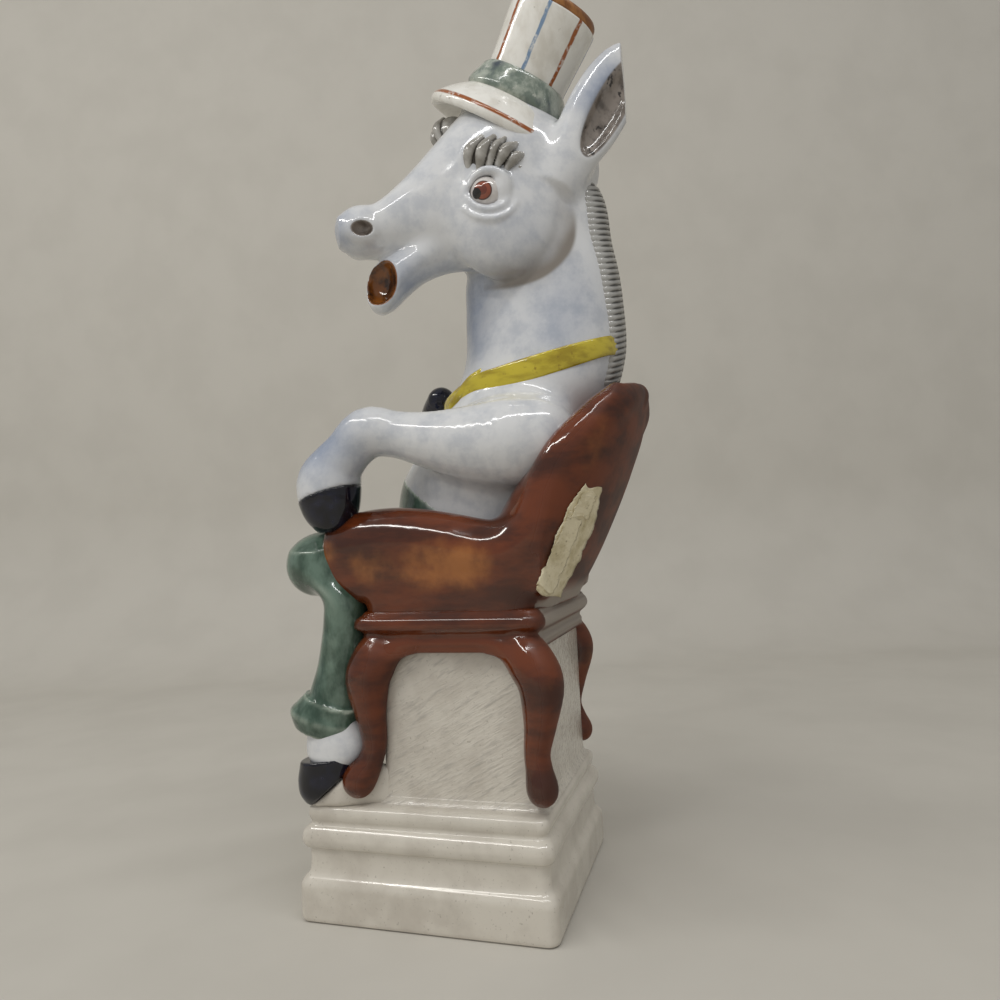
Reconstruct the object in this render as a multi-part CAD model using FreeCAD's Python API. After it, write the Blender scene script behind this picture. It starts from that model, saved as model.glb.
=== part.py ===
import FreeCAD, Part
import math
import os

# A glazed earthenware liquor decanter in the form of a donkey sitting in a tub armchair on a stepped
# pedestal. The hat's crown is the bottle's mouth and takes a corked stopper.
# Millimetres, +Z up, origin at the centre of the pedestal's underside.
# The donkey faces -Y, so its left side is +X.

# Pedestal
plinth_width = 84.0
plinth_height = 14.6
plinth_round = 2.6
step_width = 78.8
step_level = 36.0
torus_radius = 3.3
torus_level = 26.0
torus_reach = 1.9
corner_radius = 5.0
floor_thickness = 5.0
cast_wall = 5.0

# Block between the chair's legs
die_width = 66.0
die_front = -16.0
die_back = 35.0
die_height = 50.0

# Chair
rail_height = 12.0
rail_width = 80.0
rail_front = -22.0
rail_back = 41.0
rail_bead = 1.6
seat_height = 10.0
arm_height = 31.0
arm_thickness = 14.0
arm_reach = 35.0
arm_roll = 7.5
back_height = 68.0
back_width = 80.0
back_rake = 23.0
leg_inset_side = 2.0
leg_inset_end = 1.0
leg_knee = 6.2
leg_ankle = 3.6
leg_foot = 5.2
leg_ankle_out = 0.9
front_knee_out = 2.9
front_kick = 5.7
rear_knee_out = 4.8
rear_kick = 1.6

# Donkey
hip_width = 52.0
hip_centre = 12.0
shoulder_width = 50.0
neck_width = 40.0
waist_height = 22.0
chest_height = 38.0
neck_height = 74.0
arm_rise = 32.0
limb_radius = 8.6
knee_spread = 30.0
knee_reach = 38.5
knee_radius = 11.0
fetlock_height = 12.0
hoof_height = 13.0
hoof_radius = 8.0
hoof_spread = 33.0
head_turn = 30.0
head_width = 37.0
muzzle_width = 19.0
jaw_width = 19.0
eye_radius = 5.0
eye_clearance = 0.3
eye_fore = 32.0
eye_side = 14.2
eye_drop = 7.0
ear_length = 49.0
ear_width = 21.0
mane_width = 11.0
mane_depth = 4.0
ribbon_width = 6.0
ribbon_thickness = 1.2

# Hat and stopper
hat_lean_back = 25.0
hat_lean_left = 27.0
crown_height = 24.0
crown_top_radius = 15.6
crown_base_radius = 14.2
mouth_radius = 9.5
mouth_taper = 0.9
band_height = 7.0
band_drop = 5.5
band_reach = 2.8
brim_radius = 29.0
brim_droop = 15.0
brim_thickness = 3.6
spigot_depth = 13.0
cap_radius = 14.8
cap_thickness = 3.0
cork_length = 22.0
cork_clearance = 0.1

# Paper strip
paper_length = 38.0
paper_width = 13.0
paper_thickness = 0.5

V = FreeCAD.Vector
UP = V(0, 0, 1)
LEFT = V(1, 0, 0)
FORE = V(0, -1, 0)

# Levels that stack up from the floor
rail_level = step_level + die_height
seat_level = rail_level + rail_height
lap_level = seat_level + seat_height
arm_level = lap_level + arm_rise
belly_level = lap_level + waist_height
collar_level = belly_level + chest_height
nape_level = collar_level + neck_height


def ring(centre, across, along, half_across, half_along, square=0.0):
    """Closed smooth section: a periodic cubic spline on eight poles round an ellipse. Pushing the four
    corner poles out by the share `square` makes it boxier."""
    gain = 3.0 / (2.0 + math.cos(math.pi / 4))
    poles = []
    for k in range(8):
        angle = k * math.pi / 4
        push = gain * (1.0 + square * (k % 2))
        poles.append(centre + across * (half_across * math.cos(angle) * push)
                     + along * (half_along * math.sin(angle) * push))
    curve = Part.BSplineCurve()
    curve.buildFromPoles(poles, True)
    return Part.Wire(curve.toShape())


def whole(shape):
    """The main solid of a cut, which may leave crumbs."""
    solid = max(shape.Solids, key=lambda piece: piece.Volume)
    return solid if solid.Volume > 0 else solid.reversed()


def loft(rings):
    """Smooth solid through closed sections, with flat ends."""
    return whole(Part.makeLoft(rings, True, False, False, 3))


def column(rows, x=0.0, grow=0.0):
    """Upright solid. A row is level, centre in Y, half depth, half width."""
    return loft([ring(V(x, y, z), LEFT, V(0, 1, 0), wide + grow, deep + grow) for z, y, deep, wide in rows])


def limb(stations):
    """Round tapering solid along a path in about the YZ plane. A station is a point and a radius."""
    points = [point for point, radius in stations]
    rings = []
    for k, (point, radius) in enumerate(stations):
        tangent = (points[min(k + 1, len(points) - 1)] - points[max(k - 1, 0)]).normalize()
        side = tangent.cross(LEFT).normalize()
        rings.append(ring(point, side, tangent.cross(side), radius, radius))
    return loft(rings)


def ellipsoid(centre, axes, radii):
    """Unit ball stretched by a radius along each of three square axes."""
    a, b, c = [axis * radius for axis, radius in zip(axes, radii)]
    matrix = FreeCAD.Matrix(a.x, b.x, c.x, centre.x, a.y, b.y, c.y, centre.y, a.z, b.z, c.z, centre.z)
    return Part.makeSphere(1.0).transformGeometry(matrix)


def rounded_rectangle(x0, x1, y0, y1, z, radius):
    """Wire of four straight runs and four quarter arcs."""
    edges = []
    corners = [(x1 - radius, y1 - radius), (x0 + radius, y1 - radius),
               (x0 + radius, y0 + radius), (x1 - radius, y0 + radius)]
    for k, (x, y) in enumerate(corners):
        circle = Part.Circle(V(x, y, z), UP, radius)
        edges.append(Part.Arc(circle, k * math.pi / 2, (k + 1) * math.pi / 2).toShape())
    runs = []
    for k in range(4):
        end = edges[k].valueAt(edges[k].LastParameter)
        start = edges[(k + 1) % 4].valueAt(edges[(k + 1) % 4].FirstParameter)
        runs += [edges[k], Part.makeLine(end, start)]
    return Part.Wire(runs)


def slab(x0, x1, y0, y1, z0, z1, radius):
    """Upright block with rounded corners."""
    face = Part.Face(rounded_rectangle(x0, x1, y0, y1, z0, radius))
    return face.extrude(V(0, 0, z1 - z0))


def rim_edges(solid, z):
    """Edges of a block that lie at one level."""
    return [edge for edge in solid.Edges
            if all(abs(vertex.Z - z) < 1e-6 for vertex in edge.Vertexes)]


def bead(x0, x1, y0, y1, z, corner, radius):
    """Half-round moulding: a circle carried round a rounded rectangle."""
    path = rounded_rectangle(x0, x1, y0, y1, z, corner)
    start = path.Edges[1]
    circle = Part.Circle(start.valueAt(start.FirstParameter), start.tangentAt(start.FirstParameter), radius)
    turned = Part.Wire(path.Edges[1:] + path.Edges[:1])
    return whole(turned.makePipeShell([Part.Wire(circle.toShape())], True, True))


def mirrored(shape):
    """The same piece on the donkey's right."""
    return shape.mirror(V(0, 0, 0), LEFT)


pieces = {}


# Stepped pedestal
def pedestal():
    plinth_half = plinth_width / 2
    step_half = step_width / 2
    torus_half = step_half + torus_reach - torus_radius
    inner = step_half - cast_wall
    die_half = die_width / 2
    plinth = slab(-plinth_half, plinth_half, -plinth_half, plinth_half, 0, plinth_height, corner_radius)
    plinth = plinth.makeFillet(plinth_round, rim_edges(plinth, plinth_height))
    step = slab(-step_half, step_half, -step_half, step_half, 0, step_level, corner_radius)
    step = step.makeFillet(plinth_round / 2, rim_edges(step, step_level))
    torus = bead(-torus_half, torus_half, -torus_half, torus_half, torus_level, corner_radius, torus_radius)
    hollow = slab(-inner, inner, -inner, inner, floor_thickness, step_level - cast_wall, corner_radius)
    passage = slab(cast_wall - die_half, die_half - cast_wall, die_front + cast_wall, die_back - cast_wall,
                   floor_thickness, seat_level, corner_radius / 2)
    die = slab(-die_half, die_half, die_front, die_back, step_level, rail_level, corner_radius / 2)
    pieces["pedestal_base"] = whole(plinth.fuse([step, torus]).removeSplitter().cut(hollow).cut(passage))
    pieces["pedestal_die"] = whole(die.cut(passage))
    return passage


passage = pedestal()


# Chair: rail, four cabriole legs, seat, raked back and scrolled arms
def seat_rail():
    half = rail_width / 2
    rail = slab(-half, half, rail_front, rail_back, rail_level, seat_level, corner_radius)
    rail = rail.makeFillet(plinth_round / 2, rim_edges(rail, rail_level))
    level = rail_level + rail_height * 2 / 3
    edge = bead(-half, half, rail_front, rail_back, level, corner_radius, rail_bead)
    return whole(rail.fuse(edge).cut(passage))


def cabriole(side, end):
    """S-curved leg that stands on the pedestal at a corner of the block and bows out on the diagonal."""
    corner = die_back if end > 0 else die_front
    knee_out = rear_knee_out if end > 0 else front_knee_out
    kick = rear_kick if end > 0 else front_kick
    rows = [(die_height, knee_out / 2, leg_knee + 1.3), (die_height - 9, knee_out, leg_knee),
            (die_height - 22, (knee_out + leg_ankle_out) / 2, leg_ankle + 1.2),
            (die_height - 34, leg_ankle_out, leg_ankle), (6.0, (leg_ankle_out + kick) / 2, leg_ankle + 0.7),
            (2.6, kick, leg_foot), (0.0, kick, leg_foot - 0.8)]
    rings = []
    for height, out, radius in rows:
        x = side * (die_width / 2 + leg_inset_side + out * 0.25)
        y = corner + end * (leg_inset_end + out)
        rings.append(ring(V(x, y, step_level + height), LEFT, V(0, 1, 0), radius * 0.9, radius))
    return whole(loft(rings).cut(pieces["pedestal_die"]))


def raked_back():
    """Barrel back: boxy level sections that lean back and draw in to a crowned top."""
    half = back_width / 2
    lean = math.tan(math.radians(back_rake))
    rows = [(0.0, 20.0, 43.5, 0.95), (0.2, 19.5, 47.0, 0.98), (0.42, 19.0, 47.9, 1.0),
            (0.65, 21.5, 47.7, 0.97), (0.86, 28.5, 46.7, 0.87), (1.0, 33.5, 42.0, 0.72)]
    rings = []
    for share, front, rear, wide in rows:
        height = share * back_height
        middle = (front + rear) / 2 + height * lean
        rings.append(ring(V(0, middle, seat_level + height), LEFT, V(0, 1, 0), half * wide,
                          (rear - front) / 2, 0.16))
    return loft(rings)


def chair_arm():
    """Left arm: an upholstered panel with a rolled top that scrolls over at the front."""
    outer = back_width / 2
    middle = outer - arm_thickness / 2
    roll_level = seat_level + arm_height - arm_roll
    height = roll_level - seat_level
    rings = []
    for y, wide in ((-arm_reach + 13, 0.85), (-arm_reach + 20, 1.0), (0.0, 1.0), (34.0, 1.0)):
        centre = V(middle, y, seat_level + height / 2)
        rings.append(ring(centre, LEFT, UP, arm_thickness / 2 * wide, height / 2, 0.3))
    panel = loft(rings)
    stations = [(V(middle, -arm_reach + 1, roll_level - 8), arm_roll * 0.6),
                (V(middle, -arm_reach + 4.5, roll_level - 5), arm_roll * 1.1),
                (V(middle, -arm_reach + 12, roll_level), arm_roll * 1.15),
                (V(middle, -8, roll_level - 1), arm_roll), (V(middle, 16, roll_level - 3), arm_roll * 0.95),
                (V(middle, 36, roll_level + 4), arm_roll)]
    rows = [(22, seat_level, 8.0), (15, seat_level + 8, 9.5), (10, roll_level - 2, 8.0)]
    half = arm_thickness / 2 * 0.95
    front = loft([ring(V(middle, out - arm_reach, z), LEFT, V(0, 1, 0), half, deep, 0.1)
                  for out, z, deep in rows])
    return whole(panel.fuse([limb(stations), front]))


def chair():
    pieces["seat_rail"] = seat_rail()
    for side, side_name in ((1, "left"), (-1, "right")):
        for end, end_name in ((-1, "front"), (1, "rear")):
            pieces[f"{end_name}_{side_name}_leg"] = cabriole(side, end)
    back = raked_back()
    arm = whole(chair_arm().cut([back, pieces["seat_rail"]]))
    inner = back_width / 2 - arm_thickness / 2
    seat = slab(-inner, inner, rail_front - 4, rail_back - 6, seat_level, lap_level, corner_radius)
    hole = Part.makeCylinder(hip_width / 2 - 2 * cast_wall, seat_height, V(0, hip_centre, seat_level))
    pieces["chair_seat"] = whole(seat.cut([back, arm, mirrored(arm), hole]))
    pieces["left_chair_arm"] = arm
    pieces["right_chair_arm"] = mirrored(arm)
    return back


back = chair()


# Trunk: hips in the trousers, chest and neck, with one passage through all three
def trunk_rows():
    """Sections from the seat to the nape: level, centre in Y, half depth, half width."""
    hip = hip_width / 2
    shoulder = shoulder_width / 2
    throat = neck_width / 2
    belly = (belly_level, 9.5, 28.7, hip)
    collar = (collar_level, 30.5, 28.5, shoulder)
    waist = [(lap_level, hip_centre, 27, hip - 1), (lap_level + waist_height / 2, 9.5, 28, hip), belly]
    chest = [belly, (belly_level + chest_height * 0.34, 13, 29.2, hip + 0.3),
             (belly_level + chest_height * 0.68, 22, 29, shoulder + 1), collar]
    neck = [collar, (collar_level + neck_height * 0.16, 35.3, 27.7, throat + 2.6),
            (collar_level + neck_height * 0.43, 36.5, 27, throat),
            (collar_level + neck_height * 0.7, 37, 24, throat - 1.5), (nape_level, 40, 17, throat - 4)]
    return waist, chest, neck


def trunk():
    waist, chest, neck = trunk_rows()
    shapes = [column(rows) for rows in (waist, chest, neck)]
    hollows = [column(rows, grow=-cast_wall) for rows in (waist, chest, neck)]
    return shapes, hollows


shapes, hollows = trunk()
waist, chest, neck = shapes


# Head, turned to the left about the neck
turn = math.radians(head_turn)
HEAD_FORE = V(math.sin(turn), -math.cos(turn), 0)
HEAD_LEFT = V(math.cos(turn), math.sin(turn), 0)
head_pivot = V(0, 45, nape_level - 2)


def in_head(fore, left, up):
    """Point in the head's frame, from the pivot in the skull."""
    return head_pivot + HEAD_FORE * fore + HEAD_LEFT * left + UP * up


def skull():
    """Long head from the nape to the nose: fore, lowest and highest level, half width."""
    half = head_width / 2
    nose = muzzle_width / 2
    rows = [(-13, 4, 20, half * 0.5), (-6, -8, 28, half * 0.82), (6, -22, 34, half), (20, -29, 33, half),
            (34, -28, 25, half * 0.93), (45, -25, 14.5, half * 0.74), (56, -22.5, 2.5, nose * 1.1),
            (66, -21.5, -4, nose), (74, -20.5, -9, nose * 0.96), (79, -18, -12, nose * 0.55)]
    return loft([ring(in_head(fore, 0, (low + high) / 2), UP * -1, HEAD_LEFT, (high - low) / 2, wide)
                 for fore, low, high, wide in rows])


def jaw():
    """Dropped lower jaw, scooped out to show the open mouth."""
    half = jaw_width / 2
    rows = [(34, -27, -12, half * 0.75), (46, -30.5, -14, half * 0.88), (55, -36.5, -20, half * 0.96),
            (62, -41, -28, half * 0.9), (67.5, -38.5, -31.5, half * 0.55)]
    solid = loft([ring(in_head(fore, 0, (low + high) / 2), HEAD_LEFT, UP, wide, (high - low) / 2)
                  for fore, low, high, wide in rows])
    tilt = math.radians(60)
    along = (HEAD_FORE * math.cos(tilt) - UP * math.sin(tilt)).normalize()
    axes = (along, HEAD_LEFT, along.cross(HEAD_LEFT))
    scoop = ellipsoid(in_head(66.0, 0, -30.0), axes, (10, half * 0.78, 6.0))
    return solid, scoop


def ear(side):
    """Long pointed ear, hollowed on its outer face."""
    root = in_head(1, side * 15, 4)
    axis = (HEAD_FORE * -0.47 + HEAD_LEFT * (side * 0.12) + UP * 0.875).normalize()
    broad = (HEAD_FORE * 0.875 + UP * 0.47).normalize()
    thin = axis.cross(broad).normalize()
    half = ear_width / 2
    rows = [(-0.12, 0.62, 5.0), (0.1, 0.72, 5.0), (0.35, 0.95, 4.6),
            (0.6, 0.94, 4.0), (0.82, 0.62, 3.0), (0.97, 0.2, 1.2)]
    solid = loft([ring(root + axis * (share * ear_length), broad, thin, half * wide, thick)
                  for share, wide, thick in rows])
    outward = HEAD_LEFT * side
    hollow = ellipsoid(root + axis * (0.55 * ear_length) + outward * 6.0, (axis, broad, thin),
                       (ear_length * 0.38, half * 0.7, 6.0))
    return whole(solid.cut(hollow))


# Hat: the crown is the bottle's neck
HAT_AXIS = (UP - HEAD_FORE * math.tan(math.radians(hat_lean_back))
            + HEAD_LEFT * math.tan(math.radians(hat_lean_left))).normalize()
hat_seat = in_head(10.3, 0, 41)


def on_hat(profile):
    """Solid of revolution about the hat's axis from points of radius and height."""
    points = [V(radius, 0, height) for radius, height in profile]
    face = Part.Face(Part.makePolygon(points + points[:1]))
    solid = face.revolve(V(0, 0, 0), UP, 360)
    solid.Placement = FreeCAD.Placement(hat_seat, FreeCAD.Rotation(UP, HAT_AXIS))
    return whole(Part.Solid(solid) if solid.ShapeType == "Shell" else solid)


def hat():
    foot = -spigot_depth
    throat_radius = mouth_radius - mouth_taper
    cork_end = crown_height - cork_length
    outside = on_hat([(0, foot), (crown_base_radius, foot), (crown_base_radius, 0),
                      (crown_top_radius, crown_height), (0, crown_height)])
    bore = on_hat([(0, foot - 30), (throat_radius, foot - 30), (throat_radius, cork_end - 1),
                   (mouth_radius, crown_height), (0, crown_height)])
    band_radius = crown_base_radius + band_reach
    band_top = band_height - band_drop
    band = on_hat([(0, -2 - band_drop), (band_radius + 1.5, -2 - band_drop),
                   (band_radius + 0.4, band_top - band_height / 2), (crown_base_radius + 0.9, band_top),
                   (0, band_top)])
    lip = brim_thickness / 2
    slope = (brim_droop - band_drop) / (brim_radius - band_radius)
    brim_top = -1.5 - band_drop
    brim = on_hat([(0, brim_top), (band_radius - 1, brim_top), (brim_radius - lip, -brim_droop + lip * slope),
                   (brim_radius, -brim_droop), (brim_radius - lip * 0.4, -brim_droop - lip * 1.2),
                   (brim_radius - lip * 2, -brim_droop - lip * 0.6),
                   (crown_base_radius, brim_top - brim_thickness), (0, brim_top - brim_thickness)])
    cap_top = crown_height + cap_thickness
    cap = on_hat([(0, crown_height), (cap_radius, crown_height), (cap_radius, cap_top - 1),
                  (cap_radius - 1, cap_top), (0, cap_top)])
    slope_in = mouth_taper * cork_length / (cork_length + 1)
    cork_radius = mouth_radius - cork_clearance
    cork = on_hat([(0, cork_end), (cork_radius - slope_in, cork_end), (cork_radius, crown_height),
                   (0, crown_height)])
    return outside, bore, band, brim, cap, cork


def figure_head():
    outside, bore, band, brim, cap, cork = hat()
    head_solid = skull()
    jaw_solid, scoop = jaw()
    axes = (HEAD_FORE, HEAD_LEFT, UP)
    brow_at = {"left": (eye_fore - 6, eye_side, 5.5), "right": (eye_fore + 2, -eye_side + 4, 20.0)}
    cavity = ellipsoid(in_head(9, 0, 8), axes, (14, head_width / 2 - cast_wall - 1.5, 20))
    brim = whole(brim.cut([head_solid, outside, band]))
    band = whole(band.cut([outside, head_solid]))
    pieces["hat_brim"] = brim
    pieces["hat_band"] = band
    pieces["hat_crown"] = whole(outside.cut(bore))
    head = head_solid
    for side, name in ((1, "left"), (-1, "right")):
        eye_at = in_head(eye_fore, side * eye_side, -eye_drop)
        socket = Part.makeSphere(eye_radius + eye_clearance, eye_at, HEAD_LEFT)
        head = whole(head.cut(socket))
        brow = ellipsoid(in_head(*brow_at[name]), axes, (11.5, 7.0, 8.0))
        pieces[f"{name}_eye"] = Part.makeSphere(eye_radius, eye_at)
        pieces[f"{name}_brow"] = whole(brow.cut([head_solid, socket, brim]))
        pieces[f"{name}_ear"] = whole(ear(side).cut([head_solid, brim, band, outside, neck]))
    for tool in (scoop, cavity, hollows[2], bore, outside):
        head = whole(head.cut(tool))
    pieces["head"] = head
    pieces["lower_jaw"] = whole(jaw_solid.cut([head_solid, scoop]))
    pieces["stopper_cap"] = cap
    pieces["stopper_cork"] = cork
    return head_solid


head_solid = figure_head()


def dressed_trunk():
    arms = [pieces["left_chair_arm"], pieces["right_chair_arm"]]
    pieces["trouser_waist"] = whole(waist.cut([hollows[0]] + arms))
    pieces["torso"] = whole(chest.cut([hollows[1]] + arms))
    pieces["neck"] = whole(neck.cut([hollows[2], head_solid, pieces["lower_jaw"]]))
    pieces["chair_back"] = whole(back.cut([waist, chest, neck]))


dressed_trunk()


def mane_ridge():
    """Upright crest down the back of the neck, from between the ears to the chair."""
    rows = trunk_rows()[2]
    rings = []
    for z, y, deep, wide in rows:
        crest = V(0, y + deep + mane_depth * 0.2, z)
        rings.append(ring(crest, LEFT, V(0, 1, 0), mane_width / 2, mane_depth))
    return whole(loft(rings).cut([head_solid, neck, chest, back]))


def ribbon():
    """Band that sags round the neck from the mane to a knot on the chest, where its tail hangs."""
    sleeve = column(trunk_rows()[2], grow=ribbon_thickness)
    course = Part.BSplineCurve()
    course.interpolate([V(-60, 75, collar_level + 25), V(-60, 56, collar_level + 13),
                        V(-60, 34, collar_level + 6), V(-60, 2, collar_level + 9)])
    upper = course.toShape()
    upper.translate(UP * (ribbon_width / 2))
    lower = course.toShape()
    lower.translate(UP * (-ribbon_width / 2))
    slice_solid = Part.makeRuledSurface(lower, upper).extrude(LEFT * 120)
    knot_at = V(3, 8.0, collar_level + 8.5)
    knot = ellipsoid(knot_at, (LEFT, FORE, UP), (5.5, 3.2, 4.0))
    tail = limb([(knot_at + V(0, -1, -1), 2.2), (knot_at + V(0.4, -4, -5), 2.5),
                 (knot_at + V(0.8, -6.5, -9), 1.9)])
    band = whole(sleeve.common(slice_solid).cut([neck, pieces["mane"]]))
    knot = whole(knot.fuse(tail).cut([neck, chest, band]))
    return band, knot


pieces["mane"] = mane_ridge()
pieces["neck_ribbon"], pieces["ribbon_knot"] = ribbon()


# Limbs
def forelegs():
    """The left foreleg reaches over the chair's arm. The right one is bent up with its hoof to the chest."""
    arms = [pieces["left_chair_arm"], pieces["right_chair_arm"], back]
    z = arm_level
    left = limb([(V(17, 30, z + 13), limb_radius + 5), (V(26, 16, z + 11.5), limb_radius + 2.4),
                 (V(31.5, 4, z + 12.8), limb_radius), (V(34, -7, z + 15), limb_radius - 0.8),
                 (V(35.6, -17.5, z + 15.3), limb_radius - 0.2),
                 (V(36.3, -25, z + 11.5), limb_radius), (V(36.3, -30, z + 5), limb_radius + 0.4),
                 (V(36, -31.5, z - 3), limb_radius + 0.8)])
    hoof = limb([(V(36, -31.5, z - 3), limb_radius + 0.8), (V(35.5, -30, z - 8), limb_radius + 0.6),
                 (V(35, -27, z - 14), limb_radius - 2.5)])
    trunk_cut = [chest, waist, neck, pieces["neck_ribbon"], pieces["ribbon_knot"]] + arms
    pieces["left_foreleg"] = whole(left.cut([hoof] + trunk_cut))
    pieces["left_fore_hoof"] = whole(hoof.cut(arms))
    paw = V(-15, -9.5, z + 29)
    elbow = V(-31, -7, z + 10.5)
    way = V(0.76, 0.38, 0.53).normalize()
    upper = limb([(V(-16, 24, z + 20), limb_radius + 4), (V(-26, 8, z + 14.5), limb_radius + 1),
                  (elbow, limb_radius - 1.4)])
    lower = limb([(elbow + V(0, 0, 1), limb_radius - 1.6), (V(-24, -11.5, z + 20.5), limb_radius - 1.2),
                  (paw, limb_radius - 2)])
    right = whole(upper.fuse([Part.makeSphere(limb_radius, elbow), lower]))
    hoof = limb([(paw, limb_radius - 2), (paw + way * 5, limb_radius - 1.6),
                 (paw + way * 9, limb_radius - 4)])
    pieces["right_foreleg"] = whole(right.cut([hoof] + trunk_cut))
    pieces["right_fore_hoof"] = whole(hoof.cut(trunk_cut))


def trouser_leg():
    """Left leg: thigh along the seat, knee, and a shin that widens into a turned cuff."""
    knee = V(knee_spread, -knee_reach, lap_level + 6.5)
    cuff_level = step_level + hoof_height + fetlock_height
    thigh = limb([(V(13, 2, lap_level + 10), knee_radius + 1), (V(21, -20, lap_level + 9), knee_radius),
                  (knee + V(-1, 3, 0.5), knee_radius - 1.5)])
    ball = Part.makeSphere(knee_radius, knee)
    rows = [(knee.z + 1, 3 - knee_reach, 7.0, 9.0), (knee.z - 20, -29.5, 8.6, 10.5),
            (knee.z - 33, -30.5, 9.4, 10.0), (cuff_level + 9, -33.0, 11.0, 10.5),
            (cuff_level + 3, -35.5, 13.0, 12.0), (cuff_level, -35.0, 11.6, 11.0)]
    shin = column(rows, x=hoof_spread - 1)
    return whole(thigh.fuse([ball, shin]))


def hind_legs():
    cuff_level = step_level + hoof_height + fetlock_height
    hoof_level = step_level + hoof_height
    ankle = -35.0
    fetlock = column([(hoof_level, ankle, hoof_radius, hoof_radius - 0.4),
                      (hoof_level + fetlock_height / 2, ankle - 0.3, hoof_radius + 0.6, hoof_radius + 0.2),
                      (cuff_level, ankle, hoof_radius, hoof_radius)], x=hoof_spread)
    hoof = column([(step_level, ankle - 0.5, hoof_radius + 1.2, hoof_radius + 0.4),
                   (step_level + hoof_height / 2, ankle - 0.6, hoof_radius + 1.3, hoof_radius + 0.4),
                   (hoof_level, ankle, hoof_radius, hoof_radius - 0.4)], x=hoof_spread)
    front_leg = pieces["front_left_leg"]
    beside = [pieces["left_chair_arm"], pieces["chair_seat"], pieces["seat_rail"], front_leg, waist, chest,
              pieces["left_fore_hoof"]]
    pieces["left_trouser_leg"] = whole(trouser_leg().cut(beside))
    pieces["left_fetlock"] = whole(fetlock.cut(front_leg))
    pieces["left_hind_hoof"] = whole(hoof.cut([front_leg, pieces["pedestal_base"]]))
    for name in ("trouser_leg", "fetlock", "hind_hoof"):
        pieces[f"right_{name}"] = mirrored(pieces[f"left_{name}"])


forelegs()
hind_legs()


# Torn strip of paper stuck to the chair's left flank
def paper():
    half = back_width / 2
    centre = V(half, 53.5, seat_level + 18)
    rake = math.radians(back_rake)
    along = V(0, math.sin(rake), math.cos(rake))
    across = V(0, math.cos(rake), -math.sin(rake))
    corners = [centre + along * (paper_length / 2 * a) + across * (paper_width / 2 * b) + LEFT * -12
               for a, b in ((-1, -1), (-1, 1), (0.9, 1), (1, 0.1), (0.86, -1))]
    prism = Part.Face(Part.makePolygon(corners + corners[:1])).extrude(LEFT * 24)
    skin = back.makeOffsetShape(paper_thickness, 0.01)
    return whole(Part.Solid(skin.Shells[0]).common(prism).cut(back))


pieces["paper_strip"] = paper()

os.makedirs("parts", exist_ok=True)
for name, solid in pieces.items():
    solid.exportStep(f"parts/{name}.step")
    print(f"{name:18s} volume {solid.Volume / 1000:8.2f} cm3  valid {solid.isValid()}")
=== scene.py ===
# %% [markdown]
# # A figural liquor decanter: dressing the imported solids
# The real thing is slip-cast earthenware, painted under a thick clear glaze: a donkey in a hat, sitting in
# a tub armchair on a stepped pedestal. The hat's crown is the bottle's mouth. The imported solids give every
# piece its place and size, in metres. This lesson models the glazed surfaces round them and paints them.

# %% Load the frame
import math
import bmesh
import bpy
import numpy as np
from mathutils import Matrix
from mathutils.bvhtree import BVHTree


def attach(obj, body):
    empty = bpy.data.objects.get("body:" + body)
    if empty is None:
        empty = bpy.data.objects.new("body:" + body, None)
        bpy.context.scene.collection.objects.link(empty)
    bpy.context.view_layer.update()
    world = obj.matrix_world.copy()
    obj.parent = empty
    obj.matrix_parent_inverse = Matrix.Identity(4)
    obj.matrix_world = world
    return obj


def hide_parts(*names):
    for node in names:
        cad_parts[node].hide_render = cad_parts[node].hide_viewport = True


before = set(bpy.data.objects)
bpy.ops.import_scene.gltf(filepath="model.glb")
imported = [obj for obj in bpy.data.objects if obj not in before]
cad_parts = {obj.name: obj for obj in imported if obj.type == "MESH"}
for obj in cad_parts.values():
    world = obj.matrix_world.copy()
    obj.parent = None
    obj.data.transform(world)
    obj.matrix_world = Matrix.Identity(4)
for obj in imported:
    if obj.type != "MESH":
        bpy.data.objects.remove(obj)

scene = bpy.context.scene
scene.view_settings.view_transform = "Standard"
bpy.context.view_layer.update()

# %% [markdown]
# ## The camera
# The photograph was taken by hand from the donkey's left, a little behind it and with a slight tilt, from
# about 0.27 m. A camera is a position and three axes: where it looks from, what is right, what is up. They
# come from an azimuth, an elevation, a roll and a distance, so the same four numbers can be tuned by eye.

# %% Camera
AZIMUTH, ELEVATION, ROLL = (math.radians(a) for a in (106.885, -3.2765, -2.736))
LOOK_AT = np.array([0.0, 0.017985, 0.133759])
DISTANCE = 0.271006
LENS_PER_FRAME = 0.751
SENSOR = 36.0

toward = np.array([math.sin(AZIMUTH) * math.cos(ELEVATION), -math.cos(AZIMUTH) * math.cos(ELEVATION),
                   math.sin(ELEVATION)])
level_right = np.cross(-toward, (0, 0, 1))
level_right /= np.linalg.norm(level_right)
level_up = np.cross(level_right, -toward)
view_right = math.cos(ROLL) * level_right + math.sin(ROLL) * level_up
view_up = -math.sin(ROLL) * level_right + math.cos(ROLL) * level_up
camera_at = LOOK_AT + toward * DISTANCE
camera = bpy.data.objects.new("camera", bpy.data.cameras.new("camera"))
scene.collection.objects.link(camera)
camera.data.sensor_width = SENSOR
camera.data.lens = SENSOR * LENS_PER_FRAME
camera.data.clip_start = 0.01


def stand(item, right, up, back, place):
    """Puts a camera or a lamp at a place, with its own three axes along these directions. It looks against
    the third."""
    axes = np.eye(4)
    axes[:3, 0], axes[:3, 1], axes[:3, 2], axes[:3, 3] = right, up, back, place
    item.matrix_world = Matrix(axes.tolist())


stand(camera, view_right, view_up, toward, camera_at)
scene.camera = camera
print("camera at", camera_at.round(3))

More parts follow.
